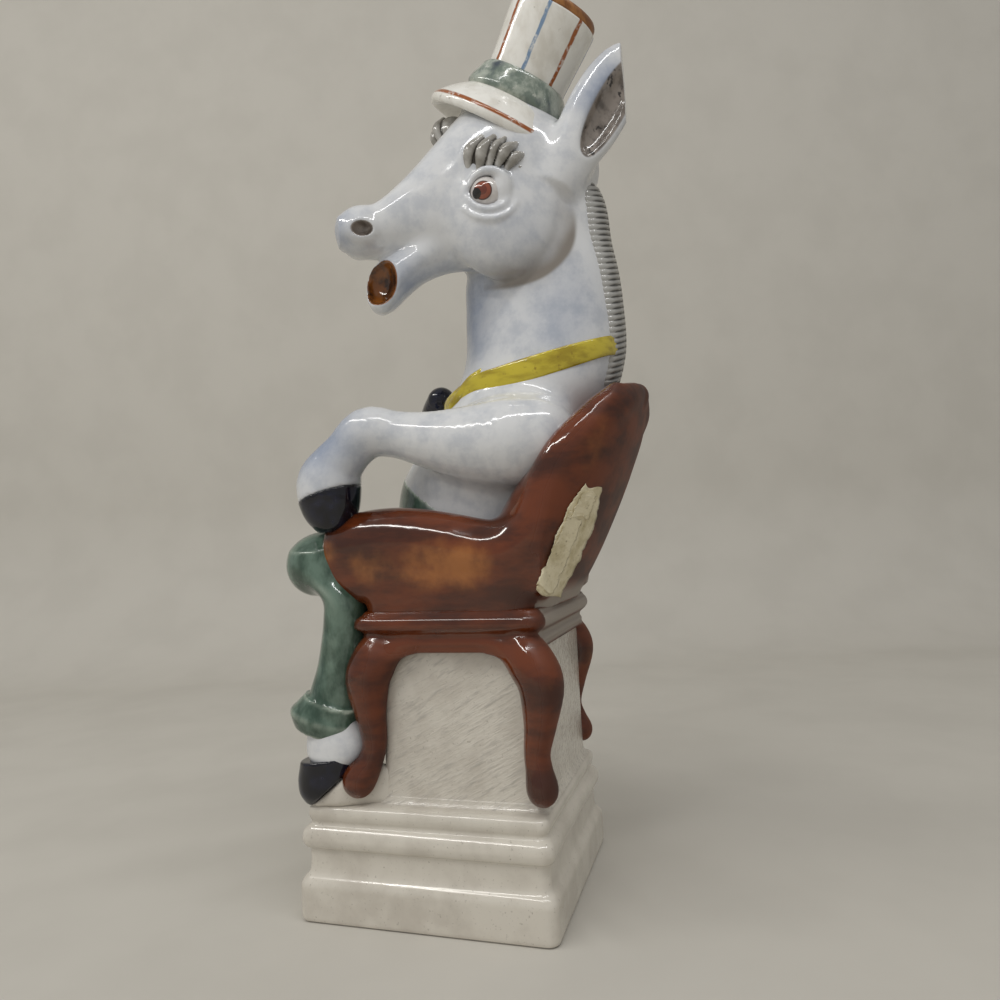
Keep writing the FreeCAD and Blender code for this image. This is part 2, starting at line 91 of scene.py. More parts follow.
# %% [markdown]
# ## Clay in a block of voxels
# Slip-cast pieces have no sharp joins: the caster smooths every seam with a wet sponge, and the glaze fills
# what is left. Separate tubes and balls pushed together would show creases. So the modelled pieces are made
# as clay in a block of voxels: each voxel holds the distance to the surface, negative inside, and two forms
# are joined with a rounded minimum that leaves a fillet of a chosen width. All of it is whole-array numpy,
# in millimetres. A form is a distance function and the box that it lies in.

# %% Smooth curves through a few stations
def smooth(knots, values, at):
    """Cubic pieces through the knots. The slope at a knot is the mean of the slopes on its two sides."""
    k = np.asarray(knots, float)
    v = np.asarray(values, float)
    slope = np.gradient(v, k, axis=0)
    at = np.clip(at, k[0], k[-1])
    i = np.clip(np.searchsorted(k, at) - 1, 0, len(k) - 2)
    wide = k[i + 1] - k[i]
    t = (at - k[i]) / wide
    if v.ndim > 1:
        t, wide = t[:, None], wide[:, None]
    return ((2 * t**3 - 3 * t**2 + 1) * v[i] + (t**3 - 2 * t**2 + t) * wide * slope[i]
            + (3 * t**2 - 2 * t**3) * v[i + 1] + (t**3 - t**2) * wide * slope[i + 1])


def spread(knots, count):
    """Path of `count` points, evenly spread over the knots' own numbering."""
    knots = np.asarray(knots, float)
    return smooth(np.arange(len(knots)), knots, np.linspace(0, len(knots) - 1, count))


# %% Three kinds of form: ball, tube and hull
def unit(vector):
    vector = np.asarray(vector, float)
    return vector / np.linalg.norm(vector)


def ball(centre, radii, axes=np.eye(3)):
    """Ellipsoid. Each offset is divided by its radius, and the length of the result, less one, is scaled
    back to about a distance."""
    centre = np.asarray(centre, float)
    radii = np.broadcast_to(np.asarray(radii, float), 3)
    axes = np.asarray(axes, float)

    def distance(x, y, z):
        near, far = 0, 0
        for axis, radius in zip(axes, radii):
            offset = (x - centre[0]) * axis[0] + (y - centre[1]) * axis[1] + (z - centre[2]) * axis[2]
            near = near + (offset / radius) ** 2
            far = far + (offset / radius**2) ** 2
        near = np.sqrt(near)
        return near * (near - 1) / np.maximum(np.sqrt(far), 1e-6)

    reach = np.sqrt(((axes * radii[:, None]) ** 2).sum(0))
    return distance, centre - reach, centre + reach


def tube(stations, count=16):
    """Round rod along a smooth path. A station is x, y, z and a radius. The distance is the least distance
    to the path's short straight runs, less the radius there."""
    path = spread(stations, count)
    points, radii = path[:, :3], path[:, 3]

    def distance(x, y, z):
        least = None
        for p, q, r, s in zip(points[:-1], points[1:], radii[:-1], radii[1:]):
            run = q - p
            along = ((x - p[0]) * run[0] + (y - p[1]) * run[1] + (z - p[2]) * run[2]) / max(run @ run, 1e-9)
            along = np.clip(along, 0, 1)
            off = np.sqrt((x - p[0] - run[0] * along) ** 2 + (y - p[1] - run[1] * along) ** 2
                          + (z - p[2] - run[2] * along) ** 2) - (r + (s - r) * along)
            least = off if least is None else np.minimum(least, off)
        return least

    return distance, (points - radii[:, None]).min(0), (points + radii[:, None]).max(0)


def hull(origin, along, across, rows, boxy=2.0):
    """Rounded section carried along an axis. A row is the place on the axis, the section's lowest and
    highest edge and its half width. The section is a superellipse: the offsets' powers add up to one."""
    origin, along, across = np.asarray(origin, float), unit(along), unit(across)
    upward = np.cross(along, across)
    rows = np.asarray(rows, float)
    fine = np.linspace(rows[0, 0], rows[-1, 0], 240)
    sizes = smooth(rows[:, 0], rows[:, 1:], fine)

    def distance(x, y, z):
        def part(axis):
            return (x - origin[0]) * axis[0] + (y - origin[1]) * axis[1] + (z - origin[2]) * axis[2]
        place = part(along)
        low, high, half = (np.interp(place, fine, column) for column in sizes.T)
        tall = np.maximum((high - low) / 2, 0.05)
        a = np.abs(part(across)) / half
        b = np.abs(part(upward) - (low + high) / 2) / tall
        size = np.maximum((a**boxy + b**boxy) ** (1 / boxy), 1e-4)
        steep = np.sqrt(((a / size) ** (boxy - 1) / half) ** 2 + ((b / size) ** (boxy - 1) / tall) ** 2)
        side = (size - 1) / np.maximum(steep, 1e-6)
        return np.maximum(side, np.maximum(rows[0, 0] - place, place - rows[-1, 0]))

    ends = []
    for place, low, high, half in rows:
        for level in (low, high):
            for side in (-half, half):
                ends.append(origin + along * place + upward * level + across * side)
    ends = np.array(ends)
    return distance, ends.min(0) - 1, ends.max(0) + 1


def upright(rows, boxy=2.0, x=0.0):
    """Hull along Z, with its depth in Y and its width in X."""
    return hull((x, 0, 0), (0, 0, 1), (1, 0, 0), rows, boxy)


def sliced(form, point, normal):
    """The part of a form that lies behind a plane."""
    inner, low, high = form
    point, normal = np.asarray(point, float), unit(normal)

    def distance(x, y, z):
        front = (x - point[0]) * normal[0] + (y - point[1]) * normal[1] + (z - point[2]) * normal[2]
        return np.maximum(inner(x, y, z), front)

    return distance, low, high


def swollen(form, by):
    """The same form, thicker by a coat of glaze."""
    inner, low, high = form
    return (lambda x, y, z: inner(x, y, z) - by), low - by, high + by


# %% The block of clay
def rounded_minimum(a, b, width):
    """The lower of two distances. Where they differ by less than `width`, a smooth dip joins them."""
    mix = np.clip(0.5 + 0.5 * (b - a) / width, 0, 1)
    return b + (a - b) * mix - width * mix * (1 - mix)


FAR_OUTSIDE = 60.0
NO_FILLET = 0.05
WORK_MARGIN = 3


class Clay:
    """A block of voxels. Adding a form takes the rounded minimum of the two distances, cutting one takes
    the rounded maximum with the form turned inside out. Only the voxels near a form are worked on."""

    def __init__(self, low, high, step):
        self.low, self.step = np.asarray(low, float), step
        count = np.ceil((np.asarray(high, float) - self.low) / step).astype(int) + 1
        self.lines = [(self.low[n] + step * np.arange(count[n])).astype(np.float32) for n in range(3)]
        self.value = np.full(count, FAR_OUTSIDE, np.float32)

    def blend(self, form, width, sign):
        shape, low, high = form
        spans = []
        for n in range(3):
            first = int((low[n] - width - WORK_MARGIN - self.low[n]) / self.step)
            last = int((high[n] + width + WORK_MARGIN - self.low[n]) / self.step) + 2
            spans.append(slice(max(first, 0), max(min(last, len(self.lines[n])), 0)))
        x, y, z = self.lines[0][spans[0]], self.lines[1][spans[1]], self.lines[2][spans[2]]
        other = np.asarray(shape(x[:, None, None], y[None, :, None], z[None, None, :]), np.float32)
        spans = tuple(spans)
        self.value[spans] = sign * rounded_minimum(self.value[spans] * sign, other, width)

    def add(self, form, width=NO_FILLET):
        self.blend(form, width, 1)

    def cut(self, form, width=NO_FILLET):
        self.blend(form, width, -1)

    def merge(self, other, width):
        self.value = rounded_minimum(self.value, other.value, width)

    def skin(self):
        """Surface nets: one vertex in each voxel cell that the surface crosses, at the mean of the places
        where it crosses the cell's edges, and one quad round each grid edge that it crosses."""
        v = self.value
        v[[0, -1]] = v[:, [0, -1]] = v[:, :, [0, -1]] = FAR_OUTSIDE
        inside = v < 0
        count = np.zeros(np.array(v.shape) - 1, np.int8)
        for i in (0, 1):
            for j in (0, 1):
                for k in (0, 1):
                    count += inside[i:v.shape[0] - 1 + i, j:v.shape[1] - 1 + j, k:v.shape[2] - 1 + k]
        cell = np.argwhere((count > 0) & (count < 8))
        index = np.full(count.shape, -1, np.int32)
        index[tuple(cell.T)] = np.arange(len(cell))
        total, hits = np.zeros((len(cell), 3)), np.zeros((len(cell), 1))
        quads = []
        for axis in range(3):
            side, other = [n for n in range(3) if n != axis]
            for a in (0, 1):
                for b in (0, 1):
                    start = cell.copy()
                    start[:, side] += a
                    start[:, other] += b
                    end = start.copy()
                    end[:, axis] += 1
                    v0, v1 = v[tuple(start.T)].astype(float), v[tuple(end.T)].astype(float)
                    crossed = ((v0 < 0) != (v1 < 0))[:, None]
                    place = start.astype(float)
                    place[:, axis] += np.where(crossed[:, 0], v0 / np.where(v0 == v1, 1, v0 - v1), 0)
                    total += place * crossed
                    hits += crossed
            here, there = [slice(1, -1)] * 3, [slice(1, -1)] * 3
            here[axis], there[axis] = slice(0, -1), slice(1, None)
            edge = np.argwhere(inside[tuple(here)] != inside[tuple(there)])
            edge[:, [side, other]] += 1
            ring = []
            for a, b in ((0, 0), (-1, 0), (-1, -1), (0, -1)):
                near = edge.copy()
                near[:, side] += a
                near[:, other] += b
                ring.append(index[tuple(near.T)])
            quad = np.stack(ring, 1)
            back = inside[tuple(edge.T)] == (axis == 1)
            quad[back] = quad[back][:, ::-1]
            quads.append(quad)
        return self.low + self.step * total / hits, np.concatenate(quads)


# %% From arrays to meshes
def neighbours(points, quads):
    """For every vertex, the mean place of the vertices that share an edge with it."""
    pairs = np.concatenate([quads[:, [n, (n + 1) % quads.shape[1]]] for n in range(quads.shape[1])])
    pairs = np.concatenate([pairs, pairs[:, ::-1]])
    share = np.maximum(np.bincount(pairs[:, 0], minlength=len(points)), 1)
    sums = [np.bincount(pairs[:, 0], points[pairs[:, 1], n], len(points)) for n in range(3)]
    return np.stack([total / share for total in sums], 1)


def sponge(points, quads, passes):
    """Wet-sponge smoothing: each pass moves a vertex towards its neighbours' mean and then a little
    further back, so that small bumps go and the size stays."""
    for _ in range(passes):
        for part in (0.5, -0.53):
            points = points + part * (neighbours(points, quads) - points)
    return points


def normals(points, quads):
    """Each face's normal from its two diagonals, summed at its corners."""
    face = np.cross(points[quads[:, 2]] - points[quads[:, 0]], points[quads[:, -1]] - points[quads[:, 1]])
    total = np.zeros_like(points)
    for n in range(3):
        total[:, n] = sum(np.bincount(quads[:, k], face[:, n], len(points)) for k in range(quads.shape[1]))
    return total / np.maximum(np.linalg.norm(total, axis=1, keepdims=True), 1e-12)


def hollowness(points, quads, width):
    """Where glaze pools, and on the white body where shade is painted: how far the surface, smoothed over
    `width` passes, lies above each point. It is positive in hollows and negative on edges, in millimetres."""
    level = points
    for _ in range(width):
        level = level + 0.5 * (neighbours(level, quads) - level)
    return ((level - points) * normals(points, quads)).sum(1)


MM = 0.001


def piece(name, points, quads, material, nodes, body="decanter", marks=None, uv=None):
    """Puts arrays in millimetres into a mesh at the origin, smooth-shaded, and says what it stands for."""
    mesh = bpy.data.meshes.new(name)
    mesh.vertices.add(len(points))
    mesh.vertices.foreach_set("co", (np.asarray(points, float) * MM).astype(np.float32).ravel())
    corner = quads.shape[1]
    mesh.loops.add(quads.size)
    mesh.loops.foreach_set("vertex_index", quads.astype(np.int32).ravel())
    mesh.polygons.add(len(quads))
    mesh.polygons.foreach_set("loop_start", np.arange(0, quads.size, corner, dtype=np.int32))
    mesh.polygons.foreach_set("use_smooth", np.ones(len(quads), bool))
    for mark, values in (marks or {}).items():
        mesh.attributes.new(mark, "FLOAT", "POINT").data.foreach_set("value", np.asarray(values, np.float32))
    if uv is not None:
        mesh.uv_layers.new(name="UVMap").data.foreach_set("uv", np.asarray(uv, np.float32).ravel())
    mesh.update(calc_edges=True)
    mesh.validate()
    mesh.materials.append(material)
    item = bpy.data.objects.new(name, mesh)
    scene.collection.objects.link(item)
    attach(item, body)
    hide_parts(*nodes)
    print(f"{name}: {len(points)} vertices, {len(quads)} faces, stands for {', '.join(nodes)}")
    return item


# %% [markdown]
# ## Glazes
# Earthenware glaze is a millimetre of glass over painted clay: a sharp, colourless reflection with the
# refractive index of glass, and under it colour that was brushed or sprayed on by hand. It runs thin over
# edges and pools in hollows, so each modelled piece carries a mark that says how hollow its surface is. On
# the white body the same mark also places painted shade: grey in creases and hollows.
# Colours are written as they look on a screen and turned into light by one function. In Blender a material is
# a graph of nodes. One function adds a node, sets its inputs and links it. A glaze is then painted layer by
# layer: each layer is a colour, a pattern that says where it goes, and two limits between which it comes in.

# %% Colours and painted materials
def linear(text):
    """Screen colour in hex to linear light."""
    share = [int(text[n:n + 2], 16) / 255 for n in (1, 3, 5)]
    return [c / 12.92 if c <= 0.04045 else ((c + 0.055) / 1.055) ** 2.4 for c in share] + [1.0]


GLASS_IOR = 1.52
COAT_ROUGHNESS = 0.03
PLAIN_CLOUD = (5, 3.0, 0.55, (1, 1, 1), (0, 0, 0))


class Glaze:
    """A material that is painted layer by layer over a base colour.

    A cloud is a noise pattern on object coordinates. It is given by the size of its features in millimetres,
    its detail and roughness, how much closer it is packed along each axis, and how far it is turned."""

    def __init__(self, name, roughness, coat, base, ior=GLASS_IOR, **clouds):
        self.material = bpy.data.materials.new(name)
        self.material.use_nodes = True
        self.tree = self.material.node_tree
        self.shader = self.tree.nodes["Principled BSDF"]
        for key, value in (("IOR", ior), ("Roughness", roughness), ("Coat Weight", coat),
                           ("Coat Roughness", COAT_ROUGHNESS)):
            self.shader.inputs[key].default_value = value
        self.colour, self.fields = base, {}
        self.where = self.add("TexCoord", {}, "Object")
        for key, cloud in clouds.items():
            size_mm, detail, rough, stretch, turn = (*cloud, *PLAIN_CLOUD[len(cloud):])
            placed = self.add("Mapping", {"Vector": self.where, "Rotation": turn,
                                          "Scale": [1 / s for s in stretch]},
                              vector_type="TEXTURE")
            self.fields[key] = self.add("TexNoise", {"Vector": placed, "Scale": 1 / (size_mm * MM),
                                                     "Detail": detail, "Roughness": rough})

    def add(self, kind, inputs, output=0, **settings):
        """Adds a node and gives back one of its outputs. An input is a number, a row of numbers, a hex colour
        or another node's output, which is linked."""
        item = self.tree.nodes.new("ShaderNode" + kind)
        for key, value in settings.items():
            setattr(item, key, value)
        for key, value in inputs.items():
            if isinstance(value, bpy.types.NodeSocket):
                self.tree.links.new(value, item.inputs[key])
            else:
                item.inputs[key].default_value = linear(value) if isinstance(value, str) else value
        return item.outputs[output]

    def amount(self, pattern, low=None, high=None):
        """A pattern is a cloud or a mark on the mesh, by name, with a minus for its negative. It may be a
        product of weighted sums of them, where an empty name is a plain number. Given two limits, the amount
        rises softly from nought at the lower to one at the upper."""
        if isinstance(pattern, bpy.types.NodeSocket):
            return pattern
        if isinstance(pattern, str):
            pattern = [{pattern.lstrip("-"): -1 if pattern.startswith("-") else 1}]
        value = None
        for terms in pattern:
            total = None
            for key, weight in terms.items():
                if key and key not in self.fields:
                    self.fields[key] = self.add("Attribute", {}, "Fac", attribute_name=key)
                term = self.fields[key] if key else weight
                if key and weight != 1:
                    term = self.add("Math", {0: term, 1: weight}, operation="MULTIPLY")
                total = term if total is None else self.add("Math", {0: total, 1: term}, operation="ADD")
            value = total if value is None else self.add("Math", {0: value, 1: total}, operation="MULTIPLY")
        if low is None:
            return value
        return self.add("MapRange", {0: value, 1: low, 2: high}, interpolation_type="SMOOTHSTEP")

    def lay(self, colour, pattern, low=None, high=None):
        """Paints a colour over what is there, as much as the pattern says."""
        under, over = 6, 7
        self.colour = self.add("Mix", {0: self.amount(pattern, low, high), under: self.colour, over: colour},
                               2, data_type="RGBA")

    def fired(self, height_mm=0.0, strength=0.0, pattern="ripple"):
        """Joins the colour to the shader. Uneven thickness of the glaze becomes a bump, so that reflections
        waver as they do on the real thing."""
        self.tree.links.new(self.colour, self.shader.inputs["Base Color"])
        if height_mm:
            bump = self.add("Bump", {"Height": self.amount(pattern), "Strength": strength,
                                     "Distance": height_mm * MM})
            self.tree.links.new(bump, self.shader.inputs["Normal"])
        print("material", self.material.name, len(self.tree.nodes), "nodes")
        return self.material


# %% White tin glaze with sprayed blue-grey, for the donkey's coat
# The mark `mist` is where blue-grey was sprayed, and `wash` and `mouth` are the speckled and the brown
# hollows. The warm grey mark is painted shade under the jowls, under the near foreleg and behind the near
# cheek. The mark of how hollow the surface is places painted shade too: grey in the creases and hollows of
# the white body.
hide = Glaze("white_glaze_sprayed_blue_grey", 0.13, 0.35, "#DADBDC", cloud=(9, 4.0, 0.65), grain=(1.1, 2.0),
             blotch=(5, 3.0), speck=(3, 2.0), ripple=(7, 2.0))
hide.lay("#C4C7CC", "cloud", 0.4, 0.7)
hide.lay("#8591A8", [{"mist": 1}, {"cloud": 0.56, "grain": 0.24, "": 0.75}], 0.05, 1.2)
# Painted shade: warm grey where the jowls and the near foreleg shade the neck and chest.
hide.lay("#857E76", "soot", 0.05, 1.3)
# Painted shade: grey, then dark grey, in the creases and hollows of the white body.
hide.lay("#8C8B8A", "pool", 0.05, 0.5)
hide.lay("#4E4A47", "pool", 0.25, 0.8)
blotches = hide.amount("blotch", 0.4, 0.65)
hollow = hide.amount("wash", 0.25, 0.9)
grey, brown = (hide.add("Mix", {0: blotches, 6: light, 7: dark}, 2, data_type="RGBA")
               for light, dark in (("#8E857D", "#5F5750"), ("#7E4A1A", "#3A200D")))
hide.lay(grey, hollow)
hide.lay("#332E2B", hide.add("Math", {0: hollow, 1: hide.amount("speck", 0.62, 0.7)}, operation="MULTIPLY"))
hide.lay(brown, "mouth", 0.35, 0.6)
hide_finish = hide.fired(0.25, 0.35)

# %% [markdown]
# ## The donkey's body
# Chest, neck, head, jaw, ears and forelegs were cast apart and luted together, and under the glaze no joint
# shows. So they are one block of clay here. The chest and neck are upright hulls, the head is a hull along
# its own forward axis, turned to the donkey's left, and the forelegs are tubes.

# %% Frame of the head
PIVOT = np.array([0.0, 45.0, 240.0])
TURN = math.radians(30)
FORE = np.array([math.sin(TURN), -math.cos(TURN), 0.0])
LEFT = np.array([math.cos(TURN), math.sin(TURN), 0.0])
UP = np.array([0.0, 0.0, 1.0])
HEAD_AXES = np.stack([FORE, LEFT, UP])


def in_head(fore, left, up):
    return PIVOT + FORE * fore + LEFT * left + UP * up


LEAN_BACK, LEAN_LEFT = math.tan(math.radians(25)), math.tan(math.radians(27))
HAT_AXIS = unit(UP - FORE * LEAN_BACK + LEFT * LEAN_LEFT)
HAT_SEAT = in_head(10.3, 0, 41)


def head_ball(place, radii):
    return ball(in_head(*place), radii, HEAD_AXES)


# %% Trunk and legs
TRUNK = [(104, -14.5, 38.5, 24.5), (108, -15, 39, 25), (119, -18.5, 37.5, 26), (130, -19.2, 38.2, 26),
         (142.9, -16.2, 42.2, 26.3), (155.8, -7, 51, 26), (168, 2, 59, 25), (179.8, 7.6, 63, 22.6),
         (199.8, 9.3, 63.5, 20), (212, 9.8, 62.4, 19.2), (219.8, 11.5, 61, 18.5), (242, 23, 57, 16),
         (252, 30, 50, 11)]
left_upper_leg = tube([(22, 37, 151, 15), (25.5, 29, 151, 14.4), (29, 17, 151.2, 12), (32, 5, 152.9, 9.3),
                       (34, -6, 155.4, 7.7), (35.4, -15.6, 156.6, 8.5), (35.8, -23.2, 150.8, 7.7),
                       (35.6, -28, 145.4, 7.9)], 30)
left_shank = tube([(35.8, -23.2, 150.8, 7.7), (35.6, -28, 145.8, 8.9), (35.3, -30.8, 140.6, 10.6),
                   (35.4, -30.6, 135, 9.9), (35.4, -30.2, 131.6, 8.2)], 18)
LEFT_HOOF_LINE = ((36.2, -31, 136.9), (0.0, 0.27, -0.963))
right_upper_leg = tube([(-16, 24, 160, 12.6), (-27, 8, 154, 9.6), (-31, -8, 151, 8.4),
                        (-29.5, -15.5, 155, 7.9), (-23.5, -15, 162.5, 7.2)], 20)
right_shank = tube([(-29.5, -15.5, 155, 7.9), (-23.5, -15, 162.5, 7.2), (-15, -9.5, 169, 7.2),
                    (-8, -6, 173.5, 5.2)], 14)
RIGHT_HOOF_LINE = ((-15, -9.5, 169), (0.76, 0.38, 0.53))
trunk = upright(TRUNK, 2.1)

# %% Head
SKULL = [(-13, 2, 15, 9), (-6, -10, 22, 15), (6, -22, 29, 18), (20, -27.5, 34, 18.2), (34, -26, 27.5, 16.6),
         (45, -25.5, 15, 13.4), (56, -23.5, 2.4, 10.6), (66, -24, -6.4, 9.4), (73, -22.5, -8.8, 8.2),
         (77, -20.5, -12, 6)]
JAW = [(30, -25, -12, 6.5), (42, -28.4, -14, 8), (50, -32.4, -17, 8.9), (55, -36.8, -20, 9.2),
       (60, -41.6, -23, 9.2), (64.5, -43.2, -26, 8.2), (67.6, -41, -29, 5.8), (68.8, -38.6, -32, 3)]
EAR = [(-7, -4.8, 4.8, 7), (5, -5.2, 5.2, 8.4), (16, -5, 5, 10.2), (28, -4.4, 4.4, 10.4),
       (37, -3.7, 3.7, 9.2), (43, -3.1, 3.1, 7.2), (46.4, -2.4, 2.4, 5), (48.2, -1.4, 1.4, 2.6)]
EYE_AT = (29.8, 15.1, -7.2)
EYE_RADIUS = 5.8
swelling = tube([(*in_head(14, -2, 12), 15), (*(HAT_SEAT - HAT_AXIS * 20), 16.4),
                 (*(HAT_SEAT - HAT_AXIS * 8), 17)], 12)
under_hat = sliced(swelling, HAT_SEAT - HAT_AXIS * 9, HAT_AXIS)
mouth_hollow = ball(in_head(65.6, 6, -33.6), (6, 8.6, 7.6), HEAD_AXES)


def head_hull(rows, boxy=2.0):
    """Sections across the head's forward axis."""
    return hull(PIVOT, FORE, LEFT, rows, boxy)


# The cheeks, by side: the middle's level and half the height. The far one is smaller, as it is hidden.
CHEEK = {1: (-14.5, 19.6), -1: (-10, 16)}
CHEEK_FORE, CHEEK_HALF = 21.5, 20
CHEEK_SLOPE = 0.2
LID_OUT = 18.3
LID_BULGE = np.array([0.0, 0.5, 0.9, 1.0, 0.9, 0.5, 0.0])


def lid(side, out, low_turn, high_turn, thick):
    """Arc of an eyelid: a tube on a circle round the eye, in the sloping plane of the cheek."""
    turns = np.radians(np.linspace(low_turn, high_turn, len(LID_BULGE)))
    stations = []
    for turn, bulge in zip(turns, LID_BULGE):
        fore, up = out * math.cos(turn), out * math.sin(turn)
        place = in_head(EYE_AT[0] + fore, side * (LID_OUT + bulge - CHEEK_SLOPE * fore), EYE_AT[2] + up)
        stations.append((*place, thick * (0.45 + 0.55 * bulge)))
    return tube(stations, 14)


def ear_forms(side):
    """Leaf along the ear's axis, broad in the fore-and-up direction, the hollow in its outer face, and how
    far grey was washed round the hollow."""
    root = in_head(2, side * 15.5, 3.5)
    axis = unit(FORE * -0.51 + LEFT * (side * 0.12) + UP * 0.86)
    broad = unit(FORE * 0.86 + UP * 0.51)
    outward = unit(np.cross(axis, broad)) * (-side if np.dot(np.cross(axis, broad), LEFT) < 0 else side)
    leaf = hull(root, axis, broad, EAR)
    hollow = ball(root + axis * 23.5 + outward * 5 - broad * 2.9, (17.5, 5.2, 4.9), (axis, broad, outward))
    washed = ball(root + axis * 26 + outward * 5 - broad * 3.3, (20.5, 5.6, 4.9), (axis, broad, outward))
    return leaf, hollow, washed


def nostril(side):
    return head_ball((70.4, side * 10.6, -18.2), (3.4, 3.2, 2.2))


# %% Model the body
BODY_BLOCK = ((-44, -52, 106), (50, 72, 292), 0.66)
SOCKET_GAP = 0.15


def model_head():
    """Skull, jaw, muzzle, cheeks and nostrils, then the eyes' sockets and the lids round them."""
    head = Clay(*BODY_BLOCK)
    head.add(head_hull(SKULL, 2.15))
    head.add(head_hull(JAW), 3.5)
    head.add(under_hat, 5)
    head.add(head_ball((70.4, 0, -15.2), (8.2, 9.2, 7.2)), 3)
    for side in (1, -1):
        head.add(head_ball((CHEEK_FORE, side * 10, CHEEK[side][0]), (CHEEK_HALF, 10.4, CHEEK[side][1])), 5)
        head.add(head_ball((70, side * 7.2, -17.4), (5.8, 3.9, 4.6)), 1.6)
        head.cut(nostril(side), 0.7)
        head.cut(head_ball(EYE_AT * np.array([1, side, 1]), EYE_RADIUS + SOCKET_GAP), 1.2)
        head.add(lid(side, 6.3, 15, 200, 1.6), 0.7)
        head.add(lid(side, 6.8, 195, 340, 1.2), 0.8)
        head.add(head_ball((EYE_AT[0] - 4.8, side * (LID_OUT - 0.2), EYE_AT[2] + 1.8), (3.4, 3.2, 5.8)), 1.0)
        head.add(lid(side, 9.8, 205, 325, 1.1), 1.0)
    head.cut(mouth_hollow, 1.0)
    return head


def model_body():
    """Chest and neck, forelegs down to their hooves, the head and its ears."""
    clay = Clay(*BODY_BLOCK)
    clay.add(trunk)
    clay.add(left_upper_leg, 6)
    clay.add(sliced(left_shank, *LEFT_HOOF_LINE), 0.5)
    clay.add(right_upper_leg, 6)
    clay.add(sliced(right_shank, *RIGHT_HOOF_LINE), 0.5)
    clay.merge(model_head(), 1.8)
    for side in (1, -1):
        leaf, hollow, _ = ear_forms(side)
        clay.add(leaf, 4)
        clay.cut(hollow, 2.2)
    points, quads = clay.skin()
    return sponge(points, quads, 4), quads


body_points, body_quads = model_body()
print("body", body_points.min(0).round(1), body_points.max(0).round(1), len(body_quads))

# %% Paint the body
def spray(points, passes):
    """Airbrush: each pass is a soft round cloud with a centre, a radius and a strength. Clouds add up."""
    amount = np.zeros(len(points))
    for centre, radius, strength in passes:
        amount += strength * np.exp(-((points - np.asarray(centre, float)) ** 2).sum(1) / radius**2)
    return amount


BLUE_PASSES = [((36, -26, 154), 13, 0.9), ((36, -34, 146), 9, 0.7), ((30, -6, 157), 12, 0.35),
               ((12, 12, 190), 17, 0.6), ((14, 10, 208), 15, 0.5), ((18, 52, 200), 16, 0.35),
               ((20, 46, 182), 13, 0.35), (in_head(46, 12, 6), 13, 0.12), (in_head(76, 4, -17), 8, 0.6),
               (in_head(58, 6, -33), 10, 0.55), (in_head(20, 17, -20), 14, 0.3),
               (in_head(-8, 18, 22), 9, 0.8), (in_head(-14, 19, 32), 8, 0.9), (in_head(50, 0, 8), 12, 0.12),
               ((-30, -8, 152), 16, 0.7), ((-16, 40, 200), 22, 0.6), (in_head(-10, -17, 24), 12, 0.8),
               (in_head(40, -14, 0), 16, 0.5)]
# Warm grey painted as shade: along the near jowl's lower rim, under the near foreleg, under the far jaw and
# behind the near cheek.
SHADE_PASSES = [(in_head(34, 13, -32), 6, 0.6), (in_head(24, 16, -34), 6.5, 0.9),
               (in_head(14, 17, -31), 6.5, 0.95), (in_head(6, 18, -23), 6.5, 0.9),
               (in_head(3, 18, -13), 6, 0.7), (in_head(3, 18, -4), 6, 0.45), ((24, 14, 141), 9, 0.6),
               ((26, 26, 136), 9, 0.6), ((20, -2, 140), 10, 0.6), (in_head(22, -14, -28), 13, 0.7),
               (in_head(-4, 16, 4), 7, 0.4)]


def grey_wash(points):
    """Grey wash in the hollows of the ears and in the nostrils."""
    shade = np.zeros(len(points))
    for side in (1, -1):
        for form, reach in ((ear_forms(side)[2], 1.0), (nostril(side), 0.5)):
            shade = np.maximum(shade, np.clip(1.15 - np.maximum(form[0](*points.T), 0) / reach, 0, 1))
    return shade


def jowl_shadow(points):
    """Painted shadow that the near cheek casts on the neck: warm grey below and behind the cheek that deepens
    towards the cheek's rim, where its reach is one, and ends sharply on the neck. The turn runs from the
    cheek's rear, downwards."""
    fore, left, up = ((points - PIVOT) @ axis for axis in (FORE, LEFT, UP))
    level, half = CHEEK[1]
    reach = np.hypot((fore - CHEEK_FORE) / CHEEK_HALF, (up - level) / half)
    turn = np.degrees(np.arctan2(level - up, CHEEK_FORE - fore))
    band = np.clip((reach - 0.8) / 0.25, 0, 1) ** 1.5 * np.clip((1.15 - reach) / 0.07, 0, 1)
    return band * np.clip((turn + 15) / 30, 0, 1) * np.clip((125 - turn) / 30, 0, 1) * (left > 2)


body_marks = {"mist": spray(body_points, BLUE_PASSES),
              "soot": 0.7 * spray(body_points, SHADE_PASSES) + 0.9 * jowl_shadow(body_points),
              "wash": grey_wash(body_points),
              "mouth": np.clip(1.0 - mouth_hollow[0](*body_points.T) / 0.9, 0, 1),
              "pool": hollowness(body_points, body_quads, 8)}
piece("donkey_body", body_points, body_quads, hide_finish,
      ["torso", "neck", "head", "lower_jaw", "left_foreleg", "right_foreleg", "left_ear", "right_ear"],
      marks=body_marks)

# %% [markdown]
# ## Hooves and fetlocks
# The hooves are the ends of the same castings, dipped in a blue-black glaze. A hoof is the same tube as its
# leg, beyond a slanting plane and a coat of glaze thicker, so the form runs on and the colour has an edge.

# %% Blue-black dipped glaze
# Cobalt-black: nearly black, bluer where it is thin on edges.
hoof_paint = Glaze("blue_black_dipped_glaze", 0.09, 0.05, "#0D0D15", cloud=(5, 3.0), ripple=(5, 2.0))
hoof_paint.lay("#1B1E31", "cloud", 0.4, 0.7)
hoof_paint.lay("#4A5068", "-pool", 0.35, 1.2)
hoof_finish = hoof_paint.fired(0.2, 0.3)


